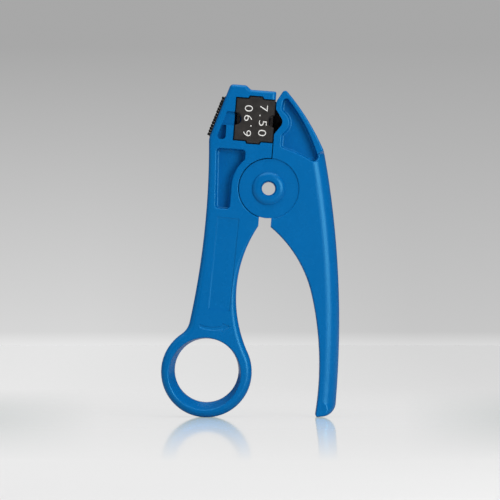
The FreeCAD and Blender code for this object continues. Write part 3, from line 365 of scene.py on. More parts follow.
@dataclass
class Surface:
    """A material with its shader, ready for effects."""

    name: str
    material: Material = field(init=False)
    wiring: Wiring = field(init=False)
    shader: Node = field(init=False)

    def __post_init__(self) -> None:
        """Makes the material with one Principled shader."""
        self.material = bpy.data.materials.new(self.name)
        self.material.use_nodes = True
        self.wiring = Wiring(self.material.node_tree)
        self.shader = self.material.node_tree.nodes["Principled BSDF"]

    def effect(self, effect: Effect, inputs: dict[str, object]) -> NodeSocket:
        """Places a shared effect in the material.

        Args:
            effect: The effect to place.
            inputs: Values for its inputs.

        Returns:
            The effect's output.
        """
        return self.wiring.add("ShaderNodeGroup", inputs, node_tree=SHELF.take(effect)).outputs[0]

    def set(self, **values: object) -> None:
        """Feeds the shader's sockets.

        Args:
            values: Socket names with _ for a space, and what feeds each.
        """
        for name, value in values.items():
            self.wiring.feed(self.shader.inputs[name.replace("_", " ")], value)

    def bump(self, height: NodeSocket, depth: float) -> None:
        """Feeds the shader's normal from a height.

        Args:
            height: The height's socket.
            depth: Distance in metres that a height of 1 stands for.
        """
        values = {"Height": height, "Distance": depth, "Strength": 1.0}
        self.set(Normal=self.wiring.add("ShaderNodeBump", values).outputs["Normal"])

    def cloudy(self, finish: Moulding | Steel) -> NodeSocket:
        """Gives a finish's colour with its clouds."""
        clouds = {"Color": finish.colour, "Scale": finish.tone_scale, "Spread": finish.tone_spread}
        return self.effect(Effect.TONE, clouds)

    def shine(self, finish: Finish) -> None:
        """Feeds the shader's roughness from a finish's uneven shine."""
        gloss = {"Base": finish.roughness, "Scale": finish.gloss_scale, "Spread": finish.gloss_spread}
        self.set(Roughness=self.effect(Effect.GLOSS, gloss))


@dataclass(frozen=True)
class Moulding:
    """A moulded plastic or foam: colour with clouds, grain, uneven shine, and paler edges that are partly
    wear and partly a painted highlight.
    """

    name: str
    colour: Rgb
    edge_wear_and_highlight_colour: Rgb
    roughness: float
    gloss_spread: float
    tone_spread: float
    grain_scale: float
    grain_depth: float
    edge_wear_and_highlight_gain: float
    tone_scale: float = 90.0
    gloss_scale: float = 160.0
    edge_radius: float = 0.35 * MM
    specular: float = 0.5
    sheen_tint: Rgb = WHITE

    def material(self) -> Material:
        """Makes the material.

        Returns:
            The finished material.
        """
        surface = Surface(self.name)
        tone = surface.cloudy(self)
        # The edges' paler colour is partly wear and partly a painted highlight along the rounded edges.
        wear_and_highlight_edges = surface.effect(Effect.EDGES, {"Radius": self.edge_radius, "Gain": self.edge_wear_and_highlight_gain})
        surface.set(Base_Color=surface.wiring.blend(wear_and_highlight_edges, tone, self.edge_wear_and_highlight_colour))
        surface.shine(self)
        surface.set(Specular_IOR_Level=self.specular, Specular_Tint=self.sheen_tint)
        surface.bump(surface.effect(Effect.GRAIN, {"Scale": self.grain_scale}), self.grain_depth)
        return surface.material


@dataclass(frozen=True)
class Steel:
    """A bright steel with fine lines from its making."""

    name: str
    colour: Rgb
    roughness: float
    gloss_spread: float
    line_scale: float
    line_depth: float
    tone_spread: float = 0.2
    tone_scale: float = 400.0
    gloss_scale: float = 700.0

    def material(self) -> Material:
        """Makes the material.

        Returns:
            The finished material.
        """
        surface = Surface(self.name)
        surface.set(Base_Color=surface.cloudy(self), Metallic=1.0)
        surface.shine(self)
        surface.bump(surface.effect(Effect.LINES, {"Scale": self.line_scale}), self.line_depth)
        return surface.material


@dataclass(frozen=True)
class Ink:
    """A printed ink, a little thin in places."""

    name: str
    colour: Rgb
    thin_colour: Rgb
    roughness: float = 0.55
    gloss_scale: float = 900.0
    gloss_spread: float = 0.2
    speck_scale: float = 5200.0
    speck_detail: float = 3.0
    speck_range: Span = (0.58, 0.72)
    speck_share: float = 0.6

    def material(self) -> Material:
        """Makes the material.

        Returns:
            The finished material.
        """
        surface = Surface(self.name)
        lumps = surface.wiring.noise(self.speck_scale, self.speck_detail)
        none, most = self.speck_range
        specks = surface.wiring.span(lumps, [(none, 0.0), (most, self.speck_share)])
        surface.set(Base_Color=surface.wiring.blend(specks, self.colour, self.thin_colour))
        surface.shine(self)
        return surface.material


# Each moulding's edge colour is partly wear and partly a painted highlight; on the black plates it paints
# the brownish highlights along the lugs and edges.
BLUE = Moulding(
    "satin_blue_moulding", colour=linear(0, 106, 177), edge_wear_and_highlight_colour=linear(16, 134, 206), roughness=0.27,
    gloss_spread=0.10, tone_spread=0.08, grain_scale=2600.0, grain_depth=0.003 * MM, edge_wear_and_highlight_gain=0.7,
    sheen_tint=(0.2, 0.76, 1.0),
)
BLACK = Moulding(
    "grained_black_moulding", colour=linear(41, 38, 36), edge_wear_and_highlight_colour=linear(96, 88, 80), roughness=0.44,
    gloss_spread=0.16, tone_spread=1.7, grain_scale=2100.0, grain_depth=0.012 * MM, edge_wear_and_highlight_gain=1.9,
    tone_scale=320.0, specular=0.35,
)
HOOK_BLACK = Moulding(
    "hook_strip_nylon", colour=linear(25, 24, 23), edge_wear_and_highlight_colour=linear(64, 61, 58), roughness=0.5,
    gloss_spread=0.15, tone_spread=0.6, grain_scale=3000.0, grain_depth=0.01 * MM, edge_wear_and_highlight_gain=1.0,
    tone_scale=500.0, specular=0.3,
)
FOAM = Moulding(
    "tape_foam", colour=linear(44, 44, 44), edge_wear_and_highlight_colour=linear(70, 70, 70), roughness=0.85,
    gloss_spread=0.1, tone_spread=0.6, grain_scale=1800.0, grain_depth=0.06 * MM, edge_wear_and_highlight_gain=0.5,
    tone_scale=900.0,
)
# The blades' colour is darkened far below bright steel as painted shade and painted dark reflection in the
# cartridge's notches.
BLADE = Steel(
    "blade_steel_darkened_as_notch_shade", colour=linear(106, 103, 100), roughness=0.2, gloss_spread=0.1,
    line_scale=9000.0, line_depth=0.0008 * MM,
)
RIVET = Steel(
    "turned_rivet_steel", colour=linear(205, 205, 204), roughness=0.33, gloss_spread=0.15,
    line_scale=5000.0, line_depth=0.004 * MM,
)
SPRING = Steel(
    "drawn_spring_wire", colour=linear(178, 178, 180), roughness=0.3, gloss_spread=0.2,
    line_scale=7000.0, line_depth=0.005 * MM,
)
WHITE_INK = Ink("white_ink", colour=linear(243, 242, 239), thin_colour=linear(160, 158, 155))

Finish = Moulding | Steel | Ink


@cache
def material_of(finish: Finish) -> Material:
    """Gives a finish's material, made on first use."""
    return finish.material()


def dress(finish: Finish, *nodes: str) -> None:
    """Gives CAD nodes their finish.

    Args:
        finish: The finish that they get.
        nodes: The nodes' names.
    """
    for node in nodes:
        for slot in frame["nodes"][node].material_slots:
            slot.material = material_of(finish)
        log.info("%s: %s", node, finish.name)


def hub_frame(depth: float | None = None) -> Matrix:
    """Works out the move from a frame at the hub, which leans as the tool does, to the tool's frame.

    Args:
        depth: Where its origin is along Y, or nothing for the hub's middle.

    Returns:
        The move.
    """
    joint = next(joint for joint in frame["joints"] if joint["name"] == PIVOT)
    across, middle, up = joint["pos_m"]
    origin = Vector((across, middle if depth is None else depth, up))
    return Matrix.Translation(origin) @ Matrix.Rotation(TOOL_LEAN, 4, "Y")


def placed_mesh(name: str, shape: BMesh, place: Matrix, crease: float | None = None) -> Mesh:
    """Turns a shape into a mesh in its place.

    Args:
        name: The mesh's name.
        shape: The shape, which is used up.
        place: The move from the shape's frame to the tool's.
        crease: The angle from which an edge stays sharp, or nothing for flat faces.

    Returns:
        The mesh.
    """
    bmesh.ops.recalc_face_normals(shape, faces=shape.faces)
    mesh = bpy.data.meshes.new(name)
    shape.to_mesh(mesh)
    shape.free()
    mesh.transform(place)
    if crease is not None:
        mesh.shade_smooth()
        mesh.set_sharp_from_angle(angle=crease)
    return mesh


def bridge(shape: BMesh, first: list[BMVert], second: list[BMVert]) -> None:
    """Joins two rings of vertices with faces.

    Args:
        shape: The mesh that grows.
        first: One ring.
        second: The other ring, with as many vertices.
    """
    for step in range(len(first)):
        after = (step + 1) % len(first)
        shape.faces.new((first[step], first[after], second[after], second[step]))


def add_object(name: str, data: ID) -> Object:
    """Adds an object to the scene.

    Args:
        name: The object's name.
        data: Its mesh, text, light or camera.

    Returns:
        The new object.
    """
    added = bpy.data.objects.new(name, data)
    bpy.context.scene.collection.objects.link(added)
    return added


def loose_piece(name: str, mesh: Mesh, material: Material) -> Object:
    """Adds a piece that rides on nothing yet.

    Args:
        name: The piece's name.
        mesh: Its mesh, in place.
        material: Its material.

    Returns:
        The new object.
    """
    piece = add_object(name, mesh)
    mesh.materials.clear()
    mesh.materials.append(material)
    return piece


def new_piece(name: str, mesh: Mesh, material: Material, body: str) -> Object:
    """Adds a piece that rides on a body.

    Args:
        name: The piece's name.
        mesh: Its mesh, in place.
        material: Its material.
        body: The CAD body that it moves with.

    Returns:
        The new object.
    """
    piece = loose_piece(name, mesh, material)
    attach(piece, body)
    log.info("%s: new piece on %s", name, body)
    return piece


@dataclass
class Arms:
    """The two blue mouldings and the black insert in the jaw."""

    mouldings: tuple[str, ...] = ("ring_handle", "squeeze_lever")
    inserts: tuple[str, ...] = ("cable_anvil",)

    def build(self) -> None:
        """Dresses the mouldings and the insert."""
        dress(BLUE, *self.mouldings)
        dress(BLACK, *self.inserts)


@dataclass
class RecessRound:
    """The round that the mould leaves along the foot of a shallow recess's wall."""

    name: str
    outline: Profile
    bare: tuple[int, ...] = ()
    deep: float = 0.35 * MM
    radius: float = 1.0 * MM
    top: float = 0.03 * MM
    sunk: float = 0.02 * MM
    steps: int = 8
    crease: float = math.radians(40)

    def section(self) -> Profile:
        """Works out the section, as distances in from the wall and down from the face.

        Returns:
            Its corners, from the wall along the round to the floor and back under it.
        """
        steepest = math.acos(1 - (self.deep - self.top) / self.radius)
        reach = self.radius * math.sin(steepest)
        corners = [(-self.sunk, self.deep + self.sunk), (-self.sunk, self.top)]
        for step in range(self.steps + 1):
            slope = steepest * (1 - step / self.steps)
            down = self.deep - self.radius * (1 - math.cos(slope))
            corners.append((reach - self.radius * math.sin(slope), down))
        return corners + [(reach, self.deep + self.sunk)]

    def inset(self, corner: int) -> Vector:
        """Works out the way inwards at a corner, long enough to stay one step from both sides.

        Args:
            corner: Which corner of the outline, which runs anticlockwise.

        Returns:
            The way, per step in from the wall.
        """
        inward = []
        for first, second in ((corner - 1, corner), (corner, (corner + 1) % len(self.outline))):
            along = Vector(self.outline[second]) - Vector(self.outline[first])
            inward.append(Vector((-along.y, along.x)).normalized())
        return (inward[0] + inward[1]) / (1 + inward[0].dot(inward[1]))

    def mesh(self, place: Matrix) -> Mesh:
        """Runs the section round the outline, and shuts its ends at the bare sides.

        Args:
            place: The move from the outline's frame, on the face, to the tool's.

        Returns:
            The round as a closed mesh, in place.
        """
        shape = bmesh.new()
        rings = []
        for corner, point in enumerate(self.outline):
            ring = []
            for distance, down in self.section():
                at = Vector(point) + self.inset(corner) * distance
                ring.append(shape.verts.new((at.x, down, at.y)))
            rings.append(ring)
        for side, (ring, after) in enumerate(zip(rings, rings[1:] + rings[:1])):
            if side in self.bare:
                shape.faces.new(ring)
                shape.faces.new(after)
            else:
                bridge(shape, after, ring)
        return placed_mesh(self.name, shape, place, self.crease)


@dataclass
class GripMarks:
    """The bare label field and the turning arrow in the grip, placed from the hub."""

    handle: str = "ring_handle"
    label_wide: float = 9.4 * MM
    label_long: float = 39.0 * MM
    label_middle: Span = (-16.4 * MM, -32.9 * MM)
    label_turn: float = math.radians(-1.5)
    label_foot: int = 0
    arrow_tail: Span = (-24.4 * MM, -59.6 * MM)
    arrow_long: float = 9.2 * MM
    arrow_wide: float = 1.7 * MM
    arrow_sag: float = 0.7 * MM
    arrow_head: float = 4.0 * MM
    arrow_lift: float = 0.9 * MM
    bow_steps: int = 12

    def build(self) -> None:
        """Adds the round along the walls of both marks."""
        label = RecessRound("label_round", self.label(), bare=(self.label_foot,))
        arrow = RecessRound("arrow_round", self.arrow())
        place = hub_frame(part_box(self.handle)[0].y)
        for mark in (label, arrow):
            piece = new_piece(mark.name, mark.mesh(place), material_of(BLUE), "handle")

    def label(self) -> Profile:
        """Gives the label field's corners, anticlockwise from its foot.

        Returns:
            The four corners.
        """
        turn = Matrix.Rotation(self.label_turn, 2)
        corners = []
        for across, along in ((-1, -1), (1, -1), (1, 1), (-1, 1)):
            corner = turn @ Vector((across * self.label_wide / 2, along * self.label_long / 2))
            corners.append((self.label_middle[0] + corner.x, self.label_middle[1] + corner.y))
        return corners

    def arrow(self) -> Profile:
        """Gives the arrow's outline, anticlockwise from its tail along the lower side.

        Returns:
            The outline's points.
        """
        left, middle = self.arrow_tail
        neck = left + self.arrow_long
        head = [
            (neck, middle - self.arrow_head / 2),
            (neck + self.arrow_head, middle + self.arrow_lift),
            (neck, middle + self.arrow_head / 2),
        ]
        upper = self.bow(self.arrow_wide / 2)
        return self.bow(-self.arrow_wide / 2) + head + upper[::-1]

    def bow(self, lift: float) -> Profile:
        """Gives one bowed side of the arrow's shaft.

        Args:
            lift: How far the side's ends are above the shaft's middle.

        Returns:
            Points from the tail to the head.
        """
        half = self.arrow_long / 2
        radius = (half ** 2 + self.arrow_sag ** 2) / (2 * self.arrow_sag)
        points = []
        for step in range(self.bow_steps + 1):
            along = self.arrow_long * step / self.bow_steps
            sag = math.sqrt(radius ** 2 - (along - half) ** 2) - radius + self.arrow_sag
            points.append((self.arrow_tail[0] + along, self.arrow_tail[1] + lift - sag))
        return points


@dataclass(frozen=True)
class SlitBlock:
    """A small moulded block at the slit above the hub, with one rounded corner at its foot."""

    name: str
    body: str
    edge: float
    root: float
    foot: float
    top: float
    front: float
    back: float
    corner: float = 0.25 * MM
    steps: int = 6

    def profile(self) -> Profile:
        """Gives the block's outline, across and up from the hub.

        Returns:
            The outline's points.
        """
        points = [(self.root, self.foot), (self.root, self.top), (self.edge, self.top)]
        radius = math.copysign(self.corner, self.root - self.edge)
        for step in range(self.steps + 1):
            turn = math.pi / 2 * step / self.steps
            across = self.edge + radius * (1 - math.cos(turn))
            points.append((across, self.foot + self.corner * (1 - math.sin(turn))))
        return points

    def mesh(self, place: Matrix) -> Mesh:
        """Builds the block from its outline.

        Args:
            place: The move from the hub's frame to the tool's.

        Returns:
            The block's mesh, in place.
        """
        shape = bmesh.new()
        front = [shape.verts.new((across, self.front, up)) for across, up in self.profile()]
        back = [shape.verts.new((across, self.back, up)) for across, up in self.profile()]
        bridge(shape, front, back)
        shape.faces.new(front)
        shape.faces.new(back[::-1])
        return placed_mesh(self.name, shape, place)


@dataclass
class SlitEdges:
    """The lever's web behind the foot of the slit, and the handle's square edge in front of it."""

    web: SlitBlock = SlitBlock(
        "slit_web", "lever", edge=-0.08 * MM, root=0.85 * MM, foot=12.5 * MM, top=13.7 * MM,
        front=7.5 * MM, back=7.95 * MM,
    )
    square: SlitBlock = SlitBlock(
        "slit_edge", "handle", edge=0.195 * MM, root=-1.25 * MM, foot=12.73 * MM, top=18.94 * MM,
        front=-7.997 * MM, back=-6.4 * MM,
    )

    def build(self) -> None:
        """Adds both blocks."""
        place = hub_frame()
        for block in (self.web, self.square):
            piece = new_piece(block.name, block.mesh(place), material_of(BLUE), block.body)


@dataclass
class Hub:
    """The hollow rivet that the arms turn on, its cap and the spring round it."""

    turned: tuple[str, ...] = ("pivot_sleeve", "pivot_cap")
    spring: str = "torsion_spring"
    coil_rise: float = 6.0 * MM

    def build(self) -> None:
        """Dresses the rivet and the cap, and adds the spring."""
        dress(BLUE, *self.turned)
        self.add_spring()

    def add_spring(self) -> None:
        """Adds a copy of the rigid spring in its place, and hides the rigid one.
        """
        piece = loose_piece("winding_spring", frame["nodes"][self.spring].data.copy(), material_of(SPRING))
        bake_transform(piece)
        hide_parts(self.spring)
        log.info("winding_spring: new piece between handle and lever")


@dataclass
class PrintedSize:
    """One printed cable size on the front of the cartridge."""

    name: str
    figures: str
    reading: Reading
    middle: Span
    long: float
    high: float
    blank_thick: float = 0.5
    ink_thick: float = 0.03 * MM
    ink_sunk: float = 0.01 * MM
    swell: float = -0.013
    spacing: float = 1.3

    def mesh(self, face: float) -> Mesh:
        """Sets the figures and lays them on the plate.

        Args:
            face: Where the plate's front is, along Y.

        Returns:
            The figures as a thin solid in place.
        """
        curve = bpy.data.curves.new(self.name, "FONT")
        curve.body = self.figures
        curve.extrude = self.blank_thick
        curve.offset = self.swell
        curve.space_character = self.spacing
        holder = add_object(self.name, curve)
        bpy.context.view_layer.update()
        mesh = bpy.data.meshes.new_from_object(holder.evaluated_get(bpy.context.evaluated_depsgraph_get()))
        bpy.data.objects.remove(holder)
        bpy.data.curves.remove(curve)
        mesh.name = self.name
        mesh.transform(self.placement(mesh, face))
        return mesh

    def placement(self, mesh: Mesh, face: float) -> Matrix:
        """Works out the move from the figures as set to their place.

        Args:
            mesh: The figures as set, flat and centred nowhere yet.
            face: Where the plate's front is, along Y.

        Returns:
            The move.
        """
        axes = list(zip(*(vertex.co for vertex in mesh.vertices)))
        low = Vector([min(values) for values in axes])
        high = Vector([max(values) for values in axes])
        size = high - low
        centre = Matrix.Translation(-(low + high) / 2)
        scale = Matrix.Diagonal((self.long / size.x, self.high / size.y, self.ink_thick / size.z, 1.0))
        turn = Matrix.Rotation(self.reading.value * math.pi / 2, 4, "Z")
        upright = Matrix.Rotation(math.pi / 2, 4, "X")
        tilt = Matrix.Rotation(TOOL_LEAN, 4, "Y")
        place = Vector((self.middle[0], face + self.ink_sunk - self.ink_thick / 2, self.middle[1]))
        return Matrix.Translation(place) @ tilt @ upright @ turn @ scale @ centre


@dataclass
class Cartridge:
    """The blade cartridge: three black plates, four blades, rivets and the printed sizes."""

    plates: tuple[str, ...] = ("cartridge_front_plate", "cartridge_spacer", "cartridge_back_plate")
    blades: tuple[str, ...] = ("jacket_blade_a", "jacket_blade_b", "core_blade_a", "core_blade_b")
    rivets: str = "cartridge_rivets"
    row_height: float = 124.2 * MM
    columns: Span = (-0.96 * MM, 5.34 * MM)
    figures_long: float = 12.9 * MM
    figures_high: float = 3.3 * MM

    def build(self) -> None:
        """Dresses the stack and prints the sizes."""
        dress(BLACK, *self.plates)
        dress(BLADE, *self.blades)
        dress(RIVET, self.rivets)
        self.print_sizes()

    def print_sizes(self) -> None:
        """Prints the two cable sizes on the front plate."""
        ink = material_of(WHITE_INK)
        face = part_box(self.plates[0])[0].y
        for name, figures, reading, column in (
            ("size_print_left", "6.90", Reading.UPWARD, self.columns[0]),
            ("size_print_right", "7.50", Reading.DOWNWARD, self.columns[1]),
        ):
            middle = (column, self.row_height)
            size = PrintedSize(name, figures, reading, middle, self.figures_long, self.figures_high)
            new_piece(name, size.mesh(face), ink, "cartridge")


@dataclass
class HookStrip:
    """The strip of small mushroom hooks that combs the braid, and the tape under it."""

    tape: str = "comb_tape"
    strip: str = "braid_comb"
    tilt: float = math.radians(21.93)
    long: float = 18.0 * MM
    wide: float = 11.0 * MM
    tape_thick: float = 0.2 * MM
    base_thick: float = 0.8 * MM
    hook_high: float = 1.1 * MM
    pitch: float = 1.5 * MM
    row_pitch: float = 1.24 * MM
    rows: int = 14
    columns: int = 7
    sides: int = 10
    stem: float = 0.36 * MM
    head: float = 0.52 * MM
    sway: float = 0.12 * MM
    shift: float = 0.07 * MM
    set_off: float = 0.3
    lowest: float = 0.8
    rim: float = 0.25 * MM
    rim_steps: int = 3
    rim_profile: float = 0.5
    stagger_step: int = 3
    seed: int = 12
    crease: float = math.radians(50)
    stem_rings: tuple[Span, ...] = ((1.3, -0.05), (1.0, 0.12), (1.0, 0.46))
    head_rings: tuple[Span, ...] = ((0.95, 0.52), (1.0, 0.62), (0.86, 0.82), (0.5, 0.95))

    def build(self) -> None:
        """Dresses the tape and sets the hooks in place of the plain strip."""
        dress(FOAM, self.tape)
        piece = new_piece("hook_strip", self.mesh(), material_of(HOOK_BLACK), "handle")
        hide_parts(self.strip)

    def mesh(self) -> Mesh:
        """Builds the base and the hooks.

        Returns:
            The strip's mesh, in place.
        """
        shape = bmesh.new()
        self.add_base(shape)
        chance = random.Random(self.seed)
        for row in range(self.rows):
            for column in range(self.columns):
                step = row - (self.rows - 1) / 2 + self.stagger(column)
                along = step * self.row_pitch + chance.uniform(-self.shift, self.shift)
                along = max(-self.end_reach(), min(self.end_reach(), along))
                across = (column - (self.columns - 1) / 2) * self.pitch
                lean = (chance.uniform(-self.sway, self.sway), chance.uniform(-self.sway, self.sway))
                high = self.hook_high * chance.uniform(self.lowest, 1.0)
                self.add_hook(shape, (across, along), lean, high)
        return placed_mesh("hook_strip", shape, self.placement(), self.crease)

    def stagger(self, column: int) -> float:
        """Gives how far a column is set off along the strip, in steps of the row pitch."""
        turn = (column * self.stagger_step % self.columns) / self.columns
        return (turn - 1 / 2) * self.set_off

    def end_reach(self) -> float:
        """Gives how far from the middle the last hooks may stand."""
        return self.long / 2 - self.head - self.sway

    def add_base(self, shape: BMesh) -> None:
        """Adds the base as a slab with rounded top edges.

        Args:
            shape: The mesh that grows.
        """
        block = bmesh.ops.create_cube(shape, size=1.0)["verts"]
        bmesh.ops.scale(shape, vec=(self.wide, self.long, self.base_thick), verts=block)
        bmesh.ops.translate(shape, vec=(0, 0, self.base_thick / 2), verts=block)
        top = [edge for edge in shape.edges if max(v.co.z for v in edge.verts) > self.base_thick / 2]
        bmesh.ops.bevel(shape, geom=top, offset=self.rim, segments=self.rim_steps,
                        profile=self.rim_profile, affect="EDGES")

    def add_hook(self, shape: BMesh, root: Span, lean: Span, high: float) -> None:
        """Adds one mushroom hook.

        Args:
            shape: The mesh that grows.
            root: Its place across and along the strip.
            lean: How far its head leans each way.
            high: Its height.
        """
        across, along = root
        profile = [(self.stem * wide, up * high) for wide, up in self.stem_rings]
        profile += [(self.head * wide, up * high) for wide, up in self.head_rings]
        rings = []
        for radius, height in profile:
            share = max(0.0, height / high)
            ring = []
            for side in range(self.sides):
                angle = 2 * math.pi * side / self.sides
                ring.append(shape.verts.new((
                    across + lean[0] * share + radius * math.cos(angle),
                    along + lean[1] * share + radius * math.sin(angle),
                    self.base_thick + height,
                )))
            rings.append(ring)
        crown = shape.verts.new((across + lean[0], along + lean[1], self.base_thick + high))
        for lower, upper in zip(rings, rings[1:]):
            bridge(shape, lower, upper)
        for side in range(self.sides):
            shape.faces.new((rings[-1][side], rings[-1][(side + 1) % self.sides], crown))
        shape.faces.new(rings[0][::-1])

    def placement(self) -> Matrix:
        """Works out the move onto the tape's outer face.

        Returns:
            The move.
        """
        low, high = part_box(self.tape)
        along = Vector((math.sin(self.tilt), 0.0, math.cos(self.tilt)))
        out = Vector((-math.cos(self.tilt), 0.0, math.sin(self.tilt)))
        across = along.cross(out)
        place = (low + high) / 2 + out * (self.tape_thick / 2)
        axes = Matrix((across, along, out)).transposed().to_4x4()
        return Matrix.Translation(place) @ axes


@dataclass(frozen=True)
class Lamp:
    """A soft box."""

    name: str
    azimuth: float
    elevation: float
    distance: float
    wide: float
    high: float
    watts: float

    def build(self, target: Vector) -> None:
        """Hangs the lamp so that it faces the object.

        Args:
            target: The point that it faces.
        """
        light = bpy.data.lights.new(self.name, "AREA")
        light.shape = "RECTANGLE"
        light.size = self.wide
        light.size_y = self.high
        light.energy = self.watts
        lamp = add_object(self.name, light)
        around = math.radians(self.azimuth)
        up = math.radians(self.elevation)
        away = Vector((math.sin(around) * math.cos(up), -math.cos(around) * math.cos(up), math.sin(up)))
        lamp.location = target + away * self.distance
        lamp.rotation_euler = away.to_track_quat("Z", "Y").to_euler()
        log.info("%s: lamp", self.name)


@dataclass(frozen=True)
class Skylight:
    """Even soft light from above."""

    name: str
    strength: float
    spread: float
    tip: float

    def build(self) -> None:
        """Hangs the light over the middle, tipped a little towards the front."""
        light = bpy.data.lights.new(self.name, "SUN")
        light.energy = self.strength
        light.angle = math.radians(self.spread)
        lamp = add_object(self.name, light)
        lamp.rotation_euler = (math.radians(self.tip), 0.0, 0.0)
        log.info("%s: lamp", self.name)


@dataclass
class Studio:
    """The pale floor, the round backdrop behind it, the lamps and the soft surrounding light."""

    reach: float = 1.51
    wall_high: float = 1.2
    sides: int = 96
    target: Vector = field(default_factory=lambda: Vector((0.0, 0.0, 0.07)))
    surround: float = 0.16
    floor_colour: Rgb = linear(188, 188, 188)
    floor_glow: Span = (0.38, 0.27)
    front_dim: float = 0.1
    front_reach: float = 0.6
    mirror_share: float = 0.9
    mirror_reach: float = 0.42
    mirror_facing: Span = (0.8, 0.93)
    mirror_rough: float = 0.05
    mirror_glow: float = 0.32
    mirror_tint: Rgb = (0.83, 1.04, 1.0)
    wall_low: Span = (0.687, 0.58)
    wall_top: float = 0.39
    wall_foot: Span = (0.8, 0.71)
    foot_high: float = 0.01
    fade_high: float = 0.22
    side_fade: float = 0.12
    mirrored_zone: Span = (0.985, 0.997)
    mirrored_back: float = 0.45
    mirrored_front: float = 0.06
    mirrored_tint: Rgb = (1.121, 0.972, 1.0)
    lamps: tuple[Lamp, ...] = (
        Lamp("key_box", azimuth=33.0, elevation=11.0, distance=0.95, wide=0.5, high=0.5, watts=4.9),
        Lamp("fill_box", azimuth=-55.0, elevation=18.0, distance=1.1, wide=0.8, high=0.9, watts=0.8),
    )
    skylight: Skylight = Skylight("skylight", strength=2.0, spread=70.0, tip=8.0)

    def build(self) -> None:
        """Builds the stage and hangs the lamps."""
        self.add_floor()
        self.add_wall()
        for lamp in self.lamps:
            lamp.build(self.target)
        self.skylight.build()
        world = bpy.data.worlds.new("surround")
        bpy.context.scene.world = world
        world.use_nodes = True
        background = world.node_tree.nodes["Background"].inputs
        background["Color"].default_value = (*WHITE, 1.0)
        background["Strength"].default_value = self.surround

    def place(self, name: str, shape: BMesh, material: Material) -> None:
        """Adds a piece of the stage.

        Args:
            name: Its name.
            shape: Its mesh.
            material: Its material.
        """
        mesh = bpy.data.meshes.new(name)
        shape.to_mesh(mesh)
        shape.free()
        mesh.materials.append(material)
        mesh.shade_smooth()
        stage = add_object(name, mesh)
        log.info("%s: stage", name)

    def add_floor(self) -> None:
        """Adds the round floor."""
        shape = bmesh.new()
        bmesh.ops.create_circle(shape, cap_ends=True, radius=self.reach, segments=self.sides)
        self.place("floor", shape, self.floor_material())

    def floor_material(self) -> Material:
        """Makes the floor's shade, pale and slightly glossy near the tool.

        Returns:
            The material.
        """
        material = bpy.data.materials.new("pale_floor")
        material.use_nodes = True
        material.node_tree.nodes.clear()
        wiring = Wiring(material.node_tree)
        pale = wiring.add("ShaderNodeBsdfDiffuse", {"Color": self.floor_colour})
        shine = wiring.add("ShaderNodeBsdfGlossy", {"Color": WHITE, "Roughness": self.mirror_rough})
        place = wiring.add("ShaderNodeTexCoord").outputs["Object"]
        away = wiring.add("ShaderNodeVectorMath", operation="LENGTH")
        wiring.feed(away.inputs[0], place)
        near = wiring.span(away.outputs["Value"], [(0.0, self.mirror_share), (self.mirror_reach, 0.0)])
        facing = wiring.add("ShaderNodeLayerWeight").outputs["Facing"]
        steep, flat = self.mirror_facing
        share = wiring.math("MULTIPLY", near, wiring.span(facing, [(steep, 0.0), (flat, 1.0)]))
        axes = wiring.add("ShaderNodeSeparateXYZ", {"Vector": place}).outputs
        left, right = self.floor_glow
        even = wiring.span(axes["X"], [(-self.side_fade, left), (self.side_fade, right)])
        dimmed = wiring.span(axes["Y"], [(-self.front_reach, self.front_dim), (0.0, 0.0)])
        seen = wiring.add("ShaderNodeLightPath").outputs["Is Camera Ray"]
        strength = wiring.math("MULTIPLY", seen, wiring.math("SUBTRACT", even, dimmed))
        both = wiring.add("ShaderNodeMixShader", {"Fac": share})
        lift = wiring.math("MULTIPLY", seen, self.mirror_glow)
        wiring.feed(both.inputs[1], self.brightened(wiring, pale, WHITE, strength))
        wiring.feed(both.inputs[2], self.brightened(wiring, shine, self.mirror_tint, lift))
        wiring.add("ShaderNodeOutputMaterial", {"Surface": both.outputs["Shader"]})
        return material

    def brightened(self, wiring: Wiring, shader: Node, tint: Rgb, strength: object) -> NodeSocket:
        """Adds an even glow to a shader.

        Args:
            wiring: The material's nodes.
            shader: The shader's node.
            tint: The glow's colour.
            strength: The glow's strength.

        Returns:
            The sum's socket.
        """
        glow = wiring.add("ShaderNodeEmission", {"Color": tint, "Strength": strength})
        lit = wiring.add("ShaderNodeAddShader")
        wiring.feed(lit.inputs[0], shader.outputs["BSDF"])
        wiring.feed(lit.inputs[1], glow.outputs["Emission"])
        return lit.outputs["Shader"]

    def add_wall(self) -> None:
        """Adds the round backdrop, which is seen only from inside."""
        shape = bmesh.new()
        rings = []
        for height in (0.0, self.wall_high):
            ring = []
            for side in range(self.sides):
                angle = 2 * math.pi * side / self.sides
                spot = (self.reach * math.cos(angle), self.reach * math.sin(angle), height)
                ring.append(shape.verts.new(spot))
            rings.append(ring)
        bridge(shape, rings[1], rings[0])
        self.place("backdrop", shape, self.wall_material())

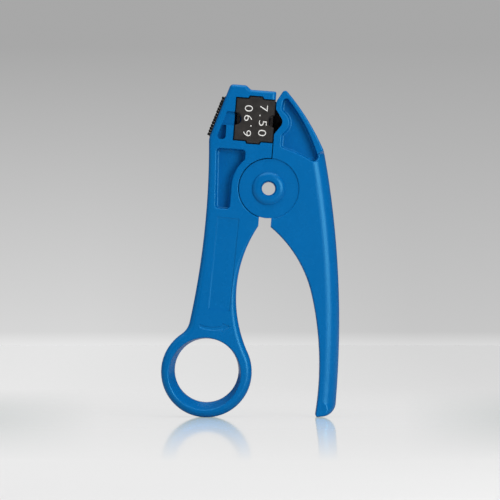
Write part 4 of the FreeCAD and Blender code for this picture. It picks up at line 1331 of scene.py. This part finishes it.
    def wall_material(self) -> Material:
        """Makes the backdrop's shade, darker towards the top and to the right.

        Returns:
            The material.
        """
        material = bpy.data.materials.new("grey_backdrop")
        material.use_nodes = True
        material.node_tree.nodes.clear()
        wiring = Wiring(material.node_tree)
        place = wiring.add("ShaderNodeTexCoord").outputs["Object"]
        axes = wiring.add("ShaderNodeSeparateXYZ", {"Vector": place}).outputs
        left, right = self.wall_low
        low = wiring.span(axes["X"], [(-self.side_fade, left), (self.side_fade, right)])
        upper = wiring.span(axes["Z"], [(0.0, low), (self.fade_high, self.wall_top)])
        left, right = self.wall_foot
        foot = wiring.span(axes["X"], [(-self.side_fade, left), (self.side_fade, right)])
        plain = wiring.span(axes["Z"], [(0.0, foot), (self.foot_high, upper)])
        rays = wiring.add("ShaderNodeLightPath").outputs
        near, far = self.mirrored_zone
        behind = wiring.span(axes["Y"], [(self.reach * near, 0.0), (self.reach * far, 1.0)])
        mirrored = wiring.span(behind, [(0.0, self.mirrored_front), (1.0, self.mirrored_back)])
        strength = wiring.blend(rays["Is Glossy Ray"], plain, mirrored, Mixed.NUMBER)
        tint = wiring.blend(rays["Is Glossy Ray"], WHITE, self.mirrored_tint)
        glow = wiring.add("ShaderNodeEmission", {"Color": tint, "Strength": strength})
        seen = wiring.math("ADD", rays["Is Camera Ray"], rays["Is Glossy Ray"], clamp=True)
        seen = wiring.math("ADD", seen, rays["Is Transmission Ray"], clamp=True)
        inside = wiring.math("SUBTRACT", 1.0, wiring.add("ShaderNodeNewGeometry").outputs["Backfacing"])
        clear = wiring.add("ShaderNodeBsdfTransparent")
        both = wiring.add("ShaderNodeMixShader", {"Fac": wiring.math("MULTIPLY", seen, inside)})
        wiring.feed(both.inputs[1], clear.outputs["BSDF"])
        wiring.feed(both.inputs[2], glow.outputs["Emission"])
        wiring.add("ShaderNodeOutputMaterial", {"Surface": both.outputs["Shader"]})
        return material


@dataclass
class Viewpoint:
    """The camera, level with the middle of the tool and far away."""

    distance: float = 2.0
    frame_wide: float = 210.0 * MM
    sensor: float = 36.0
    farthest: float = 20.0
    middle: Span = (-0.1 * MM, 70.1 * MM)

    def build(self) -> None:
        """Sets up the camera."""
        camera = bpy.data.cameras.new("viewpoint")
        camera.sensor_width = self.sensor
        camera.lens = self.sensor * self.distance / self.frame_wide
        camera.clip_end = self.farthest
        holder = add_object("viewpoint", camera)
        holder.location = (self.middle[0], -self.distance, self.middle[1])
        holder.rotation_euler = (math.pi / 2, 0.0, 0.0)
        bpy.context.scene.camera = holder
        log.info("viewpoint: camera")


def main() -> None:
    """Builds the camera, the tool's finishes and pieces, and the studio."""
    logging.basicConfig(level=logging.INFO, format="%(message)s")
    bpy.context.scene.view_settings.view_transform = "Standard"
    Viewpoint().build()
    for assembly in (Arms(), GripMarks(), SlitEdges(), Hub(), Cartridge(), HookStrip()):
        assembly.build()
    Studio().build()


if __name__ == "__main__":
    main()
